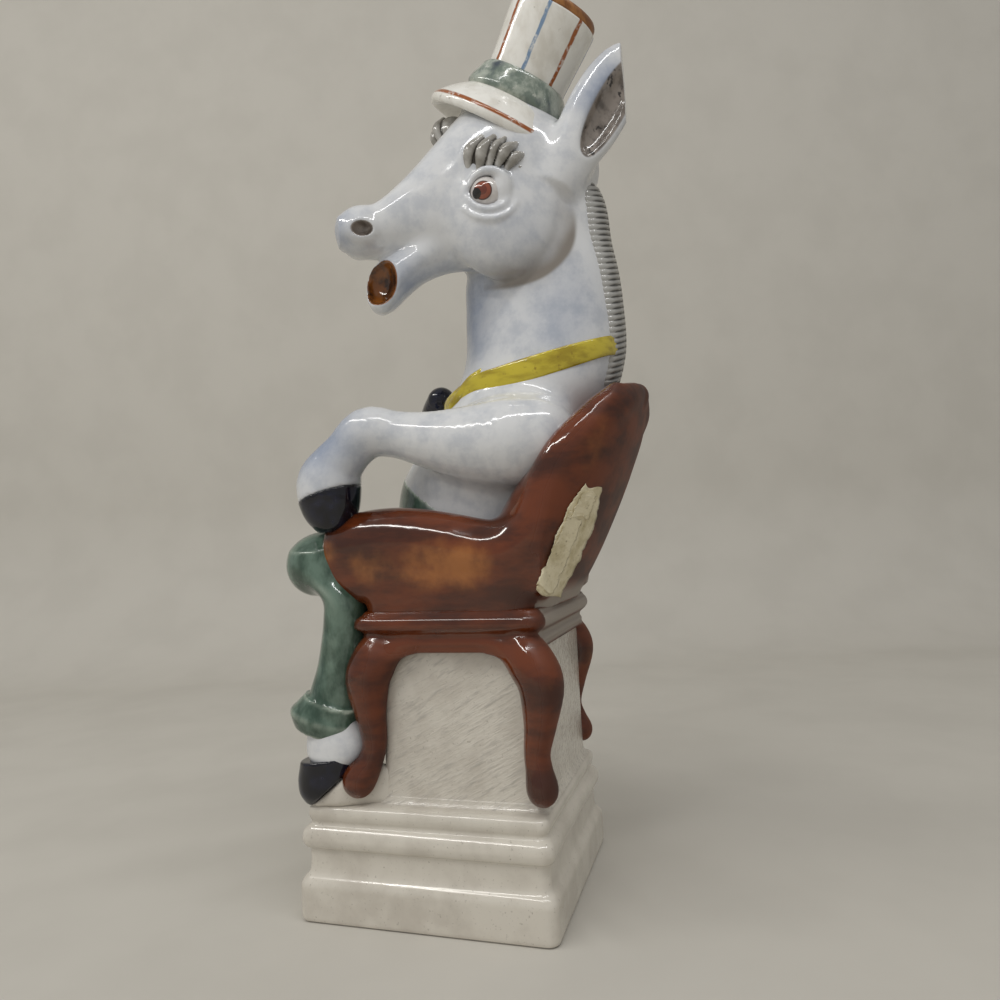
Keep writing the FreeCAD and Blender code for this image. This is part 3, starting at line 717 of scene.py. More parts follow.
# %% Pieces of clay, and their mirror images
def clay_skin(block, forms, passes):
    """One block of clay from a list of forms: add or cut, the form, and the width of the fillet. Its skin is
    smoothed."""
    clay = Clay(*block)
    for verb, form, width in forms:
        getattr(clay, verb)(form, width)
    points, quads = clay.skin()
    return sponge(points, quads, passes), quads


def clay_piece(name, block, forms, finish, nodes, passes=3, pool=5):
    points, quads = clay_skin(block, forms, passes)
    return piece(name, points, quads, finish, nodes, marks={"pool": hollowness(points, quads, pool)})


def flipped(form):
    """Mirror image across the middle plane."""
    inner, low, high = form
    turned_low, turned_high = np.array(low, float), np.array(high, float)
    turned_low[0], turned_high[0] = -high[0], -low[0]
    return (lambda x, y, z: inner(-x, y, z)), turned_low, turned_high


MIRROR = {"left": lambda form: form, "right": flipped}


def block_round(form, margin, step):
    return form[1] - margin, form[2] + margin, step


# %% Model the hooves
GLAZE_COAT = 0.15
HOOF_REACH = 13
for side_name, leg, (point, way) in (("left", left_shank, LEFT_HOOF_LINE),
                                     ("right", right_shank, RIGHT_HOOF_LINE)):
    hoof = sliced(swollen(leg, GLAZE_COAT), point, -np.asarray(way))
    low, high = np.asarray(point) - HOOF_REACH, np.asarray(point) + HOOF_REACH
    clay_piece(f"{side_name}_fore_hoof_glazed", (low, high, 0.5), [("add", (hoof[0], low, high), NO_FILLET)],
               hoof_finish, [f"{side_name}_fore_hoof"])
FOOT_X = 33
FETLOCK = upright([(42, -34, -27, 5), (47, -38, -26, 6.4), (50.6, -42, -22.4, 8.6), (54, -42.8, -21, 9),
                   (58, -42.2, -21.5, 9), (63, -40, -24, 8)], x=FOOT_X)
HOOF_TOP = ((FOOT_X, -35, 50.6), (0, -0.12, 1))
SOLE = ((FOOT_X, -34, 40), (0, 0.64, -0.77))
HIND_HOOF = upright([(36.3, -43.4, -33, 6.4), (38.4, -44.8, -30, 8), (43, -45.6, -27.2, 9.2),
                     (48, -44.8, -25, 9.6), (53, -43.8, -24.4, 9.4)], 2.2, FOOT_X)
for side_name, turn in MIRROR.items():
    fetlock = turn(FETLOCK)
    hoof = turn(sliced(sliced(swollen(HIND_HOOF, GLAZE_COAT), *HOOF_TOP), *SOLE))
    clay_piece(f"{side_name}_fetlock_glazed", block_round(fetlock, 3, 0.6), [("add", fetlock, NO_FILLET)],
               hide_finish, [f"{side_name}_fetlock"])
    clay_piece(f"{side_name}_hind_hoof_glazed", block_round(hoof, 3, 0.5), [("add", hoof, NO_FILLET)],
               hoof_finish, [f"{side_name}_hind_hoof"], 5)

# %% [markdown]
# ## Trousers
# A wash of copper green, brushed on and wiped: dark where it settled in folds, nearly white on edges. The
# thighs lie along the seat, the shins hang down and flare into turned cuffs.

# %% Green wash under clear glaze
# `pool` lightens edges and darkens folds, `fade` wipes the colour off the belly.
trouser_paint = Glaze("copper_green_wash_under_glaze", 0.13, 0.35, "#31483B",
                      cloud=(8, 4.0, 0.62, (1, 1, 0.55)), ripple=(6, 2.0))
trouser_paint.lay("#63796B", "cloud", 0.36, 0.66)
trouser_paint.lay("#22332B", "pool", 0.04, 0.45)
trouser_paint.lay("#A9B5A6", "-pool", 0.03, 0.25)
trouser_paint.lay("#C9CBCB", [{"fade": 1, "cloud": 0.5}], 0.4, 1.1)
trouser_finish = trouser_paint.fired(0.25, 0.4)

# %% Model the trousers
WAIST_LINE = ((0, 0, 133), (0, 0.72, 1))
WAIST_BOX = np.array([-30.0, -24, 104]), np.array([30.0, 42, 152])
SHIN_X = 32
thigh = tube([(13, 2, 117, 12), (21, -19, 116.5, 11.2), (28.5, -33, 115, 10.4), (30.5, -39, 113, 9.6)], 18)
knee = ball((30.0, -38.5, 114.5), (10.6, 10.4, 9.8))
shin = upright([(66, -43, -24, 10.4), (73, -40.6, -22.6, 10), (80, -38, -21.4, 9.6), (89, -35.8, -20.6, 9.8),
                (96, -34.6, -20.4, 10), (102, -34.6, -21, 10.2), (109, -41, -26, 10), (117, -45, -31, 8)],
                x=SHIN_X)
CUFF_TILT = (0, 0.294, 0.956)
cuff = hull((SHIN_X, -35.8, 63.4), CUFF_TILT, (1, 0, 0),
            [(-5, -9.6, 9.8, 10), (-2.4, -11.4, 11.4, 11.3), (0, -12.5, 12.4, 12), (2.6, -11, 11.6, 11.5),
             (6.6, -8.6, 12.4, 10.9)], 2.3)
waist = sliced(swollen(trunk, GLAZE_COAT), *WAIST_LINE)
leg_forms = [("add", turn(form), width) for turn in MIRROR.values()
             for form, width in ((thigh, 2), (knee, 3), (shin, 4), (cuff, 0.8))]
points, quads = clay_skin(((-46, -54, 57), (46, 42, 150), 0.72),
                          leg_forms + [("add", (waist[0], *WAIST_BOX), 5)], 3)
fade = np.clip((points[:, 1] + 6) / 16, 0, 1) * np.clip((points[:, 2] - 124) / 8, 0, 1)
piece("trousers_glazed", points, quads, trouser_finish,
      ["trouser_waist", "left_trouser_leg", "right_trouser_leg"],
      marks={"pool": hollowness(points, quads, 6), "fade": fade})

# %% [markdown]
# ## The chair
# Back, arms and seat are one upholstered shell under a transparent iron-brown glaze. It was brushed on in
# streaks, so it is dark where it is thick and lets the pale clay through on the flanks. The frame below it
# is a moulded rail that runs into four cabriole legs.

# %% Brushed iron-brown glaze
# Transparent brown: streaks along the form, dark pools in hollows, amber on edges. The mark `thin` is where
# the clay shows through, `worn` where the brown is rubbed grey, `bare` where it wasn't brushed and `rear`
# where the back is matt.
chair_paint = Glaze("iron_brown_brushed_glaze", 0.1, 0.5, "#3F1B0B", streak=(16, 5.0, 0.6, (1, 0.45, 1.6)),
                    cloud=(6, 3.0), rub=(8, 4.0, 0.55, (1, 0.5, 1)), ripple=(9, 2.0))
chair_paint.lay("#6A3113", "streak", 0.36, 0.66)
chair_paint.lay("#A0632F", [{"thin": 1}, {"cloud": 1.3, "": 0.5}], 0.45, 1.25)
chair_paint.lay("#2E130A", "pool", 0.05, 0.6)
chair_paint.lay("#8E4E22", "-pool", 0.3, 1.3)
chair_paint.fields["rubbed"] = chair_paint.amount("rub", 0.42, 0.62)
chair_paint.lay("#85736A", [{"worn": 1}, {"rubbed": 1}], 0.15, 0.9)
chair_paint.lay("#9C9389", "bare", 0.0, 1.2)
for socket, terms in (("Roughness", {"rear": 0.5, "": 0.1}), ("Coat Weight", {"rear": -0.3, "": 0.3})):
    chair_paint.tree.links.new(chair_paint.amount([terms]), chair_paint.shader.inputs[socket])
chair_finish = chair_paint.fired(0.35, 0.4)

# %% Model the upholstered shell
chair_back = upright([(97.5, 10, 42, 38), (111.6, 16, 50.4, 39.2), (126.6, 22, 58, 39.6),
                      (142.2, 33, 64.8, 38.2), (156.5, 47, 69.8, 34.6), (162.5, 55, 70.8, 31.5),
                      (166.4, 61.4, 69, 27)], 2.4)
arm_panel = hull((32.4, 0, 0), (0, 1, 0), (-1, 0, 0),
                 [(-33.6, 109, 123, 3.8), (-32, 105, 126.4, 5.6), (-27, 101.6, 129.2, 6.8),
                  (-18, 100.6, 131, 7.2), (-4, 101, 131.2, 7.2), (12, 101, 128.4, 7.2), (26, 101, 125.6, 7.2),
                  (42, 101, 126, 7.2)], 2.6)
arm_roll = tube([(32.5, -28, 117.6, 6.4), (33, -23.5, 120, 8.2), (33.2, -8, 121, 8.6), (33.2, 8, 119, 8.2),
                 (33.8, 22, 115.6, 7.4), (34.6, 32, 116.5, 6.8), (35.3, 38.5, 121.5, 6.2),
                 (35.4, 41.6, 129.5, 5.9), (35.2, 44, 137, 5.6), (34.2, 49.2, 145.8, 5.4), (31, 56.4, 153, 5),
                 (26, 62.2, 158.4, 4.6), (19, 66.2, 162.6, 4.2), (9, 68.2, 165.6, 3.8),
                 (0, 68.6, 166.4, 3.6)], 48)
seat_pad = upright([(97.6, -24, 34, 31), (103, -27, 35, 32.5), (107.4, -25.5, 34, 31)], 4)
plinth = upright([(97, -20.4, 39.6, 38), (101, -20.6, 40.4, 38), (106, -21, 41.6, 37.6)], 9)
arm_forms = [("add", turn(form), width) for turn in MIRROR.values()
             for form, width in ((arm_panel, 4), (arm_roll, 3))]
shell_forms = [("add", chair_back, NO_FILLET), *arm_forms, ("add", seat_pad, 1.5), ("add", plinth, 2.5)]
shell_points, shell_quads = points, quads = clay_skin(((-46, -39, 95), (46, 77, 176), 0.72), shell_forms, 4)
thin = spray(points, [((41, 4, 112), 11, 0.8), ((41, 20, 112), 10, 0.9), ((41, -16, 112), 9, 0.7),
                      ((38, 60, 140), 12, 0.4), ((36, 64, 155), 12, 0.4), ((41, -31, 118), 7, 0.7),
                      ((-41, 4, 110), 15, 0.9), ((-38, 60, 142), 16, 0.6), ((0, 62, 132), 26, 0.5)])
worn = spray(points, [((34, 12, 126), 8, 0.9), ((36, -14, 128), 7, 0.35), ((34, 44, 142), 9, 0.4)])
UNBRUSHED = 85.0, 106.0


def rear_marks(points, quads):
    """How far a place faces backwards, and the part of that between two levels, which wasn't brushed."""
    backwards = normals(points, quads)[:, 1]
    low, high = UNBRUSHED
    between_levels = np.clip((high - points[:, 2]) / 5, 0, 1) * np.clip(points[:, 2] - low, 0, 1)
    bare = np.clip((backwards - 0.5) / 0.4, 0, 1) * between_levels * (np.abs(points[:, 0]) < 35)
    return {"rear": np.clip((backwards - 0.1) / 0.4, 0, 1), "bare": bare}


piece("chair_shell_glazed", points, quads, chair_finish,
      ["chair_back", "left_chair_arm", "right_chair_arm", "chair_seat"],
      marks={"pool": hollowness(points, quads, 9), "thin": thin, "worn": worn, **rear_marks(points, quads)})

# %% Model the rail and legs
rail = upright([(84.6, -18.8, 38.4, 37.4), (86.6, -19, 38.6, 37.6), (87.6, -19.8, 39.4, 38.4),
                (88.6, -19.4, 38.8, 38), (90.4, -19.8, 39, 38.2), (91.4, -21.2, 40.2, 39.4),
                (92.6, -22.8, 41.2, 40.6), (94.4, -23, 41.4, 40.8), (95.8, -22.4, 41, 40.2),
                (96.8, -20.8, 40.2, 39.2), (98, -20.2, 39.8, 38.6)], 14)
front_leg = tube([(34.6, -15.4, 86, 6), (35.6, -17.2, 81.5, 7.2), (36.1, -18.8, 76, 7.2),
                  (35.9, -18.4, 66, 5.2), (35.6, -17.4, 56, 4), (35.8, -19.4, 49.5, 4.3),
                  (36.4, -22.8, 44.4, 5.5), (36.4, -22.8, 42.6, 4)], 36)
rear_leg = tube([(35, 33.6, 86, 6), (36.2, 36.6, 81.5, 7.2), (37.2, 39.4, 75, 7), (36.3, 38.4, 64, 5.2),
                 (35.8, 36.8, 55, 4.1), (36, 37.2, 49.5, 4.2), (36.3, 38, 44, 4.9), (36.3, 38, 42.4, 3.5)],
                 36)
far_rear_leg = tube([(-34.6, 31, 86, 5.4), (-36, 35, 81, 5.8), (-36.4, 37, 75, 5.2), (-35.8, 34.6, 64, 4.2),
                     (-35.4, 33, 55, 3.6), (-35.6, 34.4, 49, 3.8), (-36, 36, 44.4, 4.3),
                     (-36, 36, 42.6, 3.2)], 36)
brackets = [tube([(36.2, -14, 80, 3.6), (36.2, -9.6, 84.4, 3.2), (36.2, -3, 87.4, 1.8)], 12),
            tube([(36.4, 34.4, 80, 3.6), (36.2, 30, 84.4, 3.2), (36.2, 23.4, 87.4, 1.8)], 12)]
frame_forms = [("add", rail, NO_FILLET)]
frame_forms += [("add", leg, 2) for leg in (front_leg, flipped(front_leg), rear_leg, far_rear_leg)]
frame_forms += [("add", turn(bracket), 3) for bracket in brackets for turn in MIRROR.values()]
points, quads = clay_skin(((-48, -34, 34), (48, 54, 101), 0.72), frame_forms, 3)
thin = spray(points, [((41, 44, 76), 9, 0.5), ((40, -22, 72), 8, 0.3), ((-38, 44, 70), 14, 0.7)])
piece("chair_frame_glazed", points, quads, chair_finish,
      ["seat_rail", "front_left_leg", "front_right_leg", "rear_left_leg", "rear_right_leg"],
      marks={"pool": hollowness(points, quads, 7), "thin": thin, **rear_marks(points, quads)})

# %% [markdown]
# ## Surfaces on a grid
# The pedestal, the hat, the ribbon and the mane are regular shapes: a profile carried round a path. Each is
# a grid of points worked out from two parameters. Grids are closed by repeating the first column, and the
# doubled points are then merged, so that the seam keeps its own texture coordinates.

# %% Grids to pieces
def grid_quads(rows, columns):
    """Quads between neighbouring rows and columns of a grid's points."""
    index = np.arange(rows * columns).reshape(rows, columns)
    return np.stack([index[:-1, :-1], index[:-1, 1:], index[1:, 1:], index[1:, :-1]], -1).reshape(-1, 4)


def grid_piece(name, grid, finish, nodes, body="decanter", marks=None):
    """Makes a piece of a grid. If the enclosed volume comes out negative, the faces are turned round. Texture
    coordinates are the two parameters, from nought to one."""
    rows, columns = grid.shape[:2]
    points, quads = grid.reshape(-1, 3), grid_quads(rows, columns)
    a, b, c, d = (points[quads[:, n]] - points.mean(0) for n in range(4))
    if (np.cross(b - a, c - a) * a).sum() + (np.cross(c - a, d - a) * a).sum() < 0:
        quads = quads[:, ::-1]
    v, u = np.meshgrid(np.linspace(0, 1, rows), np.linspace(0, 1, columns), indexing="ij")
    uv = np.stack([u.ravel(), v.ravel()], 1)[quads].reshape(-1, 2)
    item = piece(name, points, quads, finish, nodes, body, marks, uv)
    work = bmesh.new()
    work.from_mesh(item.data)
    bmesh.ops.remove_doubles(work, verts=work.verts, dist=1e-6)
    work.to_mesh(item.data)
    work.free()
    return item


# %% Ivory glaze of the pedestal
def ivory_glaze(name, combed):
    """Greyish ivory glaze, clouded and flecked with grime. On the block between the legs it lies over clay
    that was combed on the slant with a stiff brush: grooves about 1.5 mm apart."""
    ivory = Glaze(name, 0.16, 0.3, "#D2CCC0", cloud=(14, 4.0), fleck=(0.9, 2.0), ripple=(10, 2.0),
                  comb=(2.0, 3.0, 0.65, (1, 0.22, 1.5), (math.radians(30), 0, 0)))
    ivory.lay("#C2BBAF", "cloud", 0.38, 0.68)
    ivory.lay("#A9A296", "fleck", 0.62, 0.8)
    if not combed:
        return ivory.fired(0.3, 0.35)
    ivory.lay("#B7B1A7", "comb", 0.5, 0.7)
    return ivory.fired(0.9, 0.5, [{"ripple": 1, "comb": 1}])


base_finish = ivory_glaze("ivory_glaze", False)
die_finish = ivory_glaze("ivory_glaze_on_combed_clay", True)


# %% Pedestal
def rounded_square(half_x, half_y, corner, per_side=14, per_corner=8):
    """Closed loop round a rectangle with quarter-circle corners: for each corner, an arc and the straight run
    to the next."""
    arcs = []
    for k, (sx, sy) in enumerate(((1, 1), (-1, 1), (-1, -1), (1, -1))):
        turns = np.radians(90 * k + np.linspace(0, 90, per_corner))
        arcs.append(np.stack([sx * (half_x - corner) + corner * np.cos(turns),
                              sy * (half_y - corner) + corner * np.sin(turns)], 1))
    share = np.linspace(0, 1, per_side + 2)[1:-1, None]
    loop = []
    for arc, following in zip(arcs, arcs[1:] + arcs[:1]):
        loop += [arc, arc[-1] + (following[0] - arc[-1]) * share]
    return np.concatenate(loop + [arcs[0][:1]])


def stepped(profile, middle, corner, detail):
    """Rounded rectangles stacked up. A row of the profile is the half width, the half depth and the level.
    The first and the last row close to a point."""
    profile = spread(profile, detail)
    rows = []
    for half_x, half_y, z in profile:
        ring = rounded_square(half_x, half_y, min(corner, half_x - 0.1, half_y - 0.1))
        rows.append(np.column_stack([ring[:, 0] + middle[0], ring[:, 1] + middle[1], np.full(len(ring), z)]))
    first = np.tile([middle[0], middle[1], profile[0, 2]], (len(rows[0]), 1))
    last = np.tile([middle[0], middle[1], profile[-1, 2]], (len(rows[0]), 1))
    return np.stack([first] + rows + [last])


BASE = [(39.5, 0), (41.2, 0.2), (41.9, 1.2), (42.0, 4), (42.0, 9), (41.9, 11.6), (41.2, 13.2), (40.2, 14.4),
        (39.7, 15.6), (39.5, 18), (39.5, 21), (39.7, 22.4), (40.8, 23.4), (41.3, 25), (41.35, 26.4),
        (41.0, 28), (40.1, 29.2), (39.3, 29.9), (39.15, 30.8), (39.5, 31.8), (39.75, 33.2), (39.6, 34.6),
        (39.0, 35.5), (38, 36.0), (36.5, 36.1), (34.5, 36.1)]
DEEPER = 0.8
base_grid = stepped([(half, half + DEEPER, z) for half, z in BASE], (0, -DEEPER), 3.4, 120)
grid_piece("pedestal_base_glazed", base_grid, base_finish, ["pedestal_base"])
DIE = [(35, 28.6, 35.9), (34.2, 27.8, 36.6), (33.5, 27.1, 38), (33.1, 26.7, 41), (33, 26.6, 60),
       (33, 26.6, 80), (32.8, 26.5, 86.5)]
die_grid = stepped(DIE, (0, 10.6), 2.6, 60)
grid_piece("pedestal_die_glazed", die_grid, die_finish, ["pedestal_die"])
HOOF_REST = hull((31.5, 0, 0), (0, 1, 0), (-1, 0, 0),
                 [(-41, 35.4, 36.2, 6), (-38, 35.4, 37, 7.6), (-34, 35.4, 40.4, 8.2), (-28, 35.4, 45.3, 8.2),
                  (-24, 35.4, 48.2, 6.4), (-19, 35.4, 48.4, 3), (-14, 35.4, 47, 1.6)], 4)
for side_name, turn in MIRROR.items():
    rest = turn(HOOF_REST)
    clay_piece(f"{side_name}_hoof_rest", block_round(rest, 3, 0.6), [("add", rest, NO_FILLET)], base_finish,
               [])

# %% [markdown]
# ## The hat and its stopper
# Brim, band and crown are thrown shapes, turned about the hat's own leaning axis. A hand-made rim is never
# quite round, so the radius wavers by a fraction of a millimetre. The stripes are brush strokes.

# %% Turning about the hat's axis
HAT_FRONT = unit(FORE - HAT_AXIS * (FORE @ HAT_AXIS))
HAT_SIDE = np.cross(HAT_AXIS, HAT_FRONT)


def thrown(profile, columns=145, detail=60, waver=0.0):
    """Profile of radius and height turned about the hat's axis. The angle runs from the hat's front."""
    profile = spread(profile, detail)
    turns = np.linspace(0, 2 * math.pi, columns)
    wobble = 1 + waver * (np.sin(2 * turns + 0.6) + 0.6 * np.sin(3 * turns + 2.0))
    radius = profile[:, :1] * wobble[None, :]
    return (HAT_SEAT + HAT_AXIS * profile[:, 1][:, None, None]
            + (HAT_FRONT * np.cos(turns)[:, None] + HAT_SIDE * np.sin(turns)[:, None]) * radius[:, :, None])


def hat_glaze(name, strokes):
    """Warm white glaze with grime, and brushed strokes. A stroke is a place across the UV map, whether it
    runs round or up, half its width, how often it is repeated, and its colour."""
    hat = Glaze(name, 0.14, 0.35, "#F0EEE7", cloud=(7, 4.0, 0.55, (1, 1, 0.6)), grime=(3.4, 3.0),
                waver=(6, 2.0), patchy=(2.2, 2.0), ripple=(5, 2.0))
    hat.lay("#DCD8CE", "cloud", 0.4, 0.7)
    hat.lay("#9C958A", "grime", 0.66, 0.8)
    waver = hat.amount([{"waver": 0.012, "": -0.006}])
    for centre, axis, half, repeat, hue in strokes:
        place = hat.add("SeparateXYZ", {0: hat.add("UVMap", {}, uv_map="UVMap")}, axis)
        place = hat.add("Math", {0: place, 1: waver}, operation="ADD")
        if repeat > 1:
            place = hat.add("Math", {0: place, 1: repeat}, operation="MULTIPLY")
            place = hat.add("Math", {0: place}, operation="FRACT")
        place = hat.add("Math", {0: place, 1: centre}, operation="SUBTRACT")
        hat.fields["off"] = hat.add("Math", {0: place}, operation="ABSOLUTE")
        hat.lay(hue, hat.add("Math", {0: hat.amount("-off", -half, -half * 0.55),
                                      1: hat.amount("patchy", 0.2, 0.5)},
                             operation="MULTIPLY"))
    return hat.fired(0.25, 0.4)


BLUE, RUST = "#7C96B4", "#9A5420"
crown_finish = hat_glaze("warm_white_glaze_striped", [(0.25, 0, 0.04, 4, RUST), (0.75, 0, 0.034, 4, BLUE)])
brim_finish = hat_glaze("warm_white_glaze_lined", [(0.42, 1, 0.055, 1, RUST)])
CROWN = [(9.3, 23.9), (12.2, 24), (14.6, 24), (15.4, 23.6), (15.6, 22.6), (15.3, 16), (14.9, 10), (14.6, 5),
         (14.4, 0), (14.2, -6), (14.2, -12.6), (8.8, -12.8), (8.7, -10), (8.7, 0), (9.0, 12), (9.4, 23.7),
         (9.3, 23.9)]
grid_piece("hat_crown_glazed", thrown(CROWN, 145, 110, 0.006), crown_finish, ["hat_crown"])
BRIM = [(14.4, -6.4), (17.5, -7.2), (20, -8.8), (23, -11), (25.6, -13.4), (27, -14.8), (27.9, -15.8),
        (28.3, -17.2), (28, -18.6), (27, -19.2), (25.2, -18.4), (22.4, -16.2), (18.6, -13.6), (14.4, -11.6),
        (14.4, -6.4)]
grid_piece("hat_brim_glazed", thrown(BRIM, 161, 110, 0.008), brim_finish, ["hat_brim"])

# %% Band
# Grey-green glaze over a rough coil of clay, pale where it broke off the ridges.
band_paint = Glaze("grey_green_glaze", 0.15, 0.35, "#6E7B71", cloud=(5, 4.0, 0.65), dark=(9, 2.0),
                   pale=(2.6, 3.0), ripple=(4, 2.0))
band_paint.lay("#AAB1A5", "cloud", 0.36, 0.66)
band_paint.lay("#444E56", "dark", 0.5, 0.68)
band_paint.lay("#C4C5BB", "pale", 0.62, 0.74)
BAND = [(14.2, 1.8), (15, 1.6), (16, 0.4), (17, -1.8), (18.2, -4.4), (18.7, -6.6), (17.8, -8), (16, -8.2),
        (14.2, -7.2), (14.2, -3.4), (14.2, 1.8)]
grid_piece("hat_band_glazed", thrown(BAND, 121, 60, 0.022), band_paint.fired(0.4, 0.5),
           ["hat_band"])

# %% Stopper
# Turned beech stained brown: fine grain along the disc. Pressed cork: buff with darker pores about a
# millimetre across.
beech = Glaze("stained_turned_beech", 0.42, 0.1, "#7A4A22", grain=(5, 4.0, 0.6, (0.2, 2.2, 1)),
              ripple=(2, 2.0))
beech.lay("#A9733E", "grain", 0.38, 0.64)
cap_finish = beech.fired(0.15, 0.4, [{"ripple": 1, "grain": 1}])
bark = Glaze("pressed_cork", 0.75, 0.0, "#C09A6B", pore=(1.3, 3.0, 0.7), ripple=(1.3, 2.0))
bark.lay("#8A6238", "pore", 0.5, 0.7)
cork_finish = bark.fired(0.3, 0.6, [{"ripple": 1, "pore": 1}])
CAP = [(0, 27), (7, 27), (13.2, 26.95), (14.2, 26.6), (14.75, 25.8), (14.8, 25), (14.6, 24.3), (14, 24.06),
       (8, 24.05), (0, 24.05)]
grid_piece("stopper_cap_turned", thrown(CAP, 121, 60), cap_finish, ["stopper_cap"], "stopper")
CORK = [(0, 24), (6, 24), (9.2, 24), (9.3, 23.2), (9.0, 14), (8.7, 6), (8.5, 2.8), (8.1, 2.1), (7, 2.0),
        (0, 2.0)]
grid_piece("stopper_cork_cut", thrown(CORK, 97, 50), cork_finish, ["stopper_cork"], "stopper")

# %% [markdown]
# ## Mane, ribbon and brows
# The mane is a low crest that the modeller nicked across with a tool, about forty times. The ribbon is a flat
# strip laid round the neck. Both ride on the neck's own surface, so they follow the same sections.

# %% Nicked grey hair
def hair_glaze(name, dark, light, nick, ridge):
    """Grey wash wiped off the high parts: cloudy from dark to light, other greys in nicks and on ridges."""
    hair = Glaze(name, 0.16, 0.3, dark, cloud=(5, 3.0), ripple=(3, 2.0))
    hair.lay(light, "cloud", 0.4, 0.7)
    hair.lay(nick, "pool", -0.05, 0.09)
    hair.lay(ridge, "-pool", 0.04, 0.25)
    return hair.fired(0.2, 0.3)


mane_finish = hair_glaze("grey_wash_over_nicks", "#5E5C58", "#82807C", "#32302D", "#ABAAA6")
brow_finish = hair_glaze("white_glaze_grey_in_grooves", "#8E8A82", "#B4B1AB", "#3B362F", "#CFCDC9")
trunk_rows = np.array(TRUNK)


def trunk_at(z):
    """Front, back and half width of the trunk at each level."""
    return smooth(trunk_rows[:, 0], trunk_rows[:, 1:], z).T


MANE_FOOT, MANE_TOP = 166, 246
NICK_DEPTH, NICK_SLOPE = 0.95, 1.5


def capped(loops):
    """Closes a row of loops: each end loop shrinks to its middle."""
    ends = [np.broadcast_to(loops[n].mean(0), loops[:1].shape) for n in (0, -1)]
    return np.concatenate([ends[0], loops, ends[1]])


def mane_grid(nicks=40, rows=700, columns=29):
    """Half-round crest up the neck's back. Its height and width are cut down in each nick, and the nicks
    slope: the level of a point on the flank is lower than on the crest. Both ends taper."""
    level = np.linspace(MANE_FOOT, MANE_TOP, rows)[:, None]
    across = np.linspace(-1, 1, columns)[None, :]
    ease = np.clip(np.minimum(level - MANE_FOOT, MANE_TOP - level) / 5, 0, 1) ** 0.5
    phase = (level - MANE_FOOT) / (MANE_TOP - MANE_FOOT) * nicks + NICK_SLOPE * np.abs(across)
    tooth = np.abs(np.sin(math.pi * phase)) ** 0.55
    back = trunk_at(level[:, 0])[1][:, None]
    crest = np.sqrt(np.clip(1 - across**2, 0, 1))
    height = (1.2 + (3.0 + NICK_DEPTH * (tooth - 1)) * crest) * ease - 1.6
    width = (9.4 + (level - 206) * 0.03 + 0.4 * (tooth - 1)) * (0.3 + 0.7 * ease)
    sides = across * width
    outer = np.stack([sides, back + height - 0.03 * sides**2, np.broadcast_to(level, height.shape)], -1)
    inner = outer[:, ::-1].copy()
    inner[:, :, 1] = back - 6
    return capped(np.concatenate([outer, inner, outer[:, :1]], 1))


mane = mane_grid()
mane_points = mane.reshape(-1, 3)
mane_quads = grid_quads(*mane.shape[:2])
on_crest = len(mane_points) // 2 + 14
if normals(mane_points, mane_quads)[on_crest, 1] < 0:
    mane_quads = mane_quads[:, ::-1]
grid_piece("mane_nicked", mane, mane_finish, ["mane"],
           marks={"pool": hollowness(mane_points, mane_quads, 14)})


# %% Yellow ribbon
# Antimony yellow, uneven in the brush strokes and with ochre spots.
ribbon_paint = Glaze("antimony_yellow_glaze", 0.13, 0.4, "#C7B534", streak=(6, 4.0, 0.55, (1, 0.4, 1.4)),
                     spot=(2.4, 2.0), ripple=(4, 2.0))
ribbon_paint.lay("#A08C1E", "streak", 0.42, 0.68)
ribbon_paint.lay("#8A701C", "spot", 0.62, 0.78)
ribbon_finish = ribbon_paint.fired(0.25, 0.4)
RIBBON_HALF, RIBBON_THICK, RIBBON_LIFT = 3.7, 0.85, 0.35
RIBBON_COURSE = [(2, 166), (9.5, 168.6), (18, 171.6), (28, 172.8), (45, 176.6), (56, 180.4), (66, 185)]


def ribbon_grid(columns=220, around=21):
    """Flat oval carried round the neck. At each angle the level comes from the ribbon's course over the
    depth, and the place from the neck's section there, pushed out by half the ribbon's thickness."""
    turns = np.radians(np.linspace(-86, 266, columns))
    level = np.full(columns, 178.0)
    course = np.array(RIBBON_COURSE, float)
    for _ in range(4):
        front, back, half = trunk_at(level)
        deep = (back - front) / 2
        level = smooth(course[:, 0], course[:, 1], front + deep + deep * np.sin(turns))
    front, back, half = trunk_at(level)
    deep = (back - front) / 2
    out = np.stack([np.cos(turns) / half, np.sin(turns) / deep, np.zeros(columns)], 1)
    out /= np.linalg.norm(out, axis=1, keepdims=True)
    path = np.stack([half * np.cos(turns), front + deep + deep * np.sin(turns), level], 1)
    loop = np.linspace(0, 2 * math.pi, around)
    wide = RIBBON_HALF + 0.3 * np.sin(turns * 3 + 1)
    thick = RIBBON_LIFT + RIBBON_THICK * np.sign(np.cos(loop)) * np.abs(np.cos(loop)) ** 0.7
    tall = np.sign(np.sin(loop)) * np.abs(np.sin(loop)) ** 0.8
    rise = (wide[:, None] * tall[None, :])[:, :, None]
    return path[:, None] + out[:, None] * thick[None, :, None] + UP * rise


grid_piece("neck_ribbon_glazed", capped(ribbon_grid()), ribbon_finish, ["neck_ribbon"])
knot_forms = [("add", ball((7.5, 8, 170.4), (4.6, 3.4, 3.2)), NO_FILLET),
              ("add", tube([(19, 19.4, 176.6, 1.2), (18.2, 15.8, 173.6, 2.4), (17.2, 11.6, 169.4, 2.6),
                            (15.2, 8, 166.6, 2.4), (13.6, 6, 165, 1.2)], 16), 0.6),
              ("cut", tube([(20, 17, 171.6, 0.5), (20.4, 14.4, 169.6, 0.6), (19.4, 11.4, 167.4, 0.5)], 10),
               0.6)]
clay_piece("ribbon_knot_glazed", ((-1, -2, 160), (25, 24, 181), 0.42), knot_forms, ribbon_finish,
           ["ribbon_knot"])


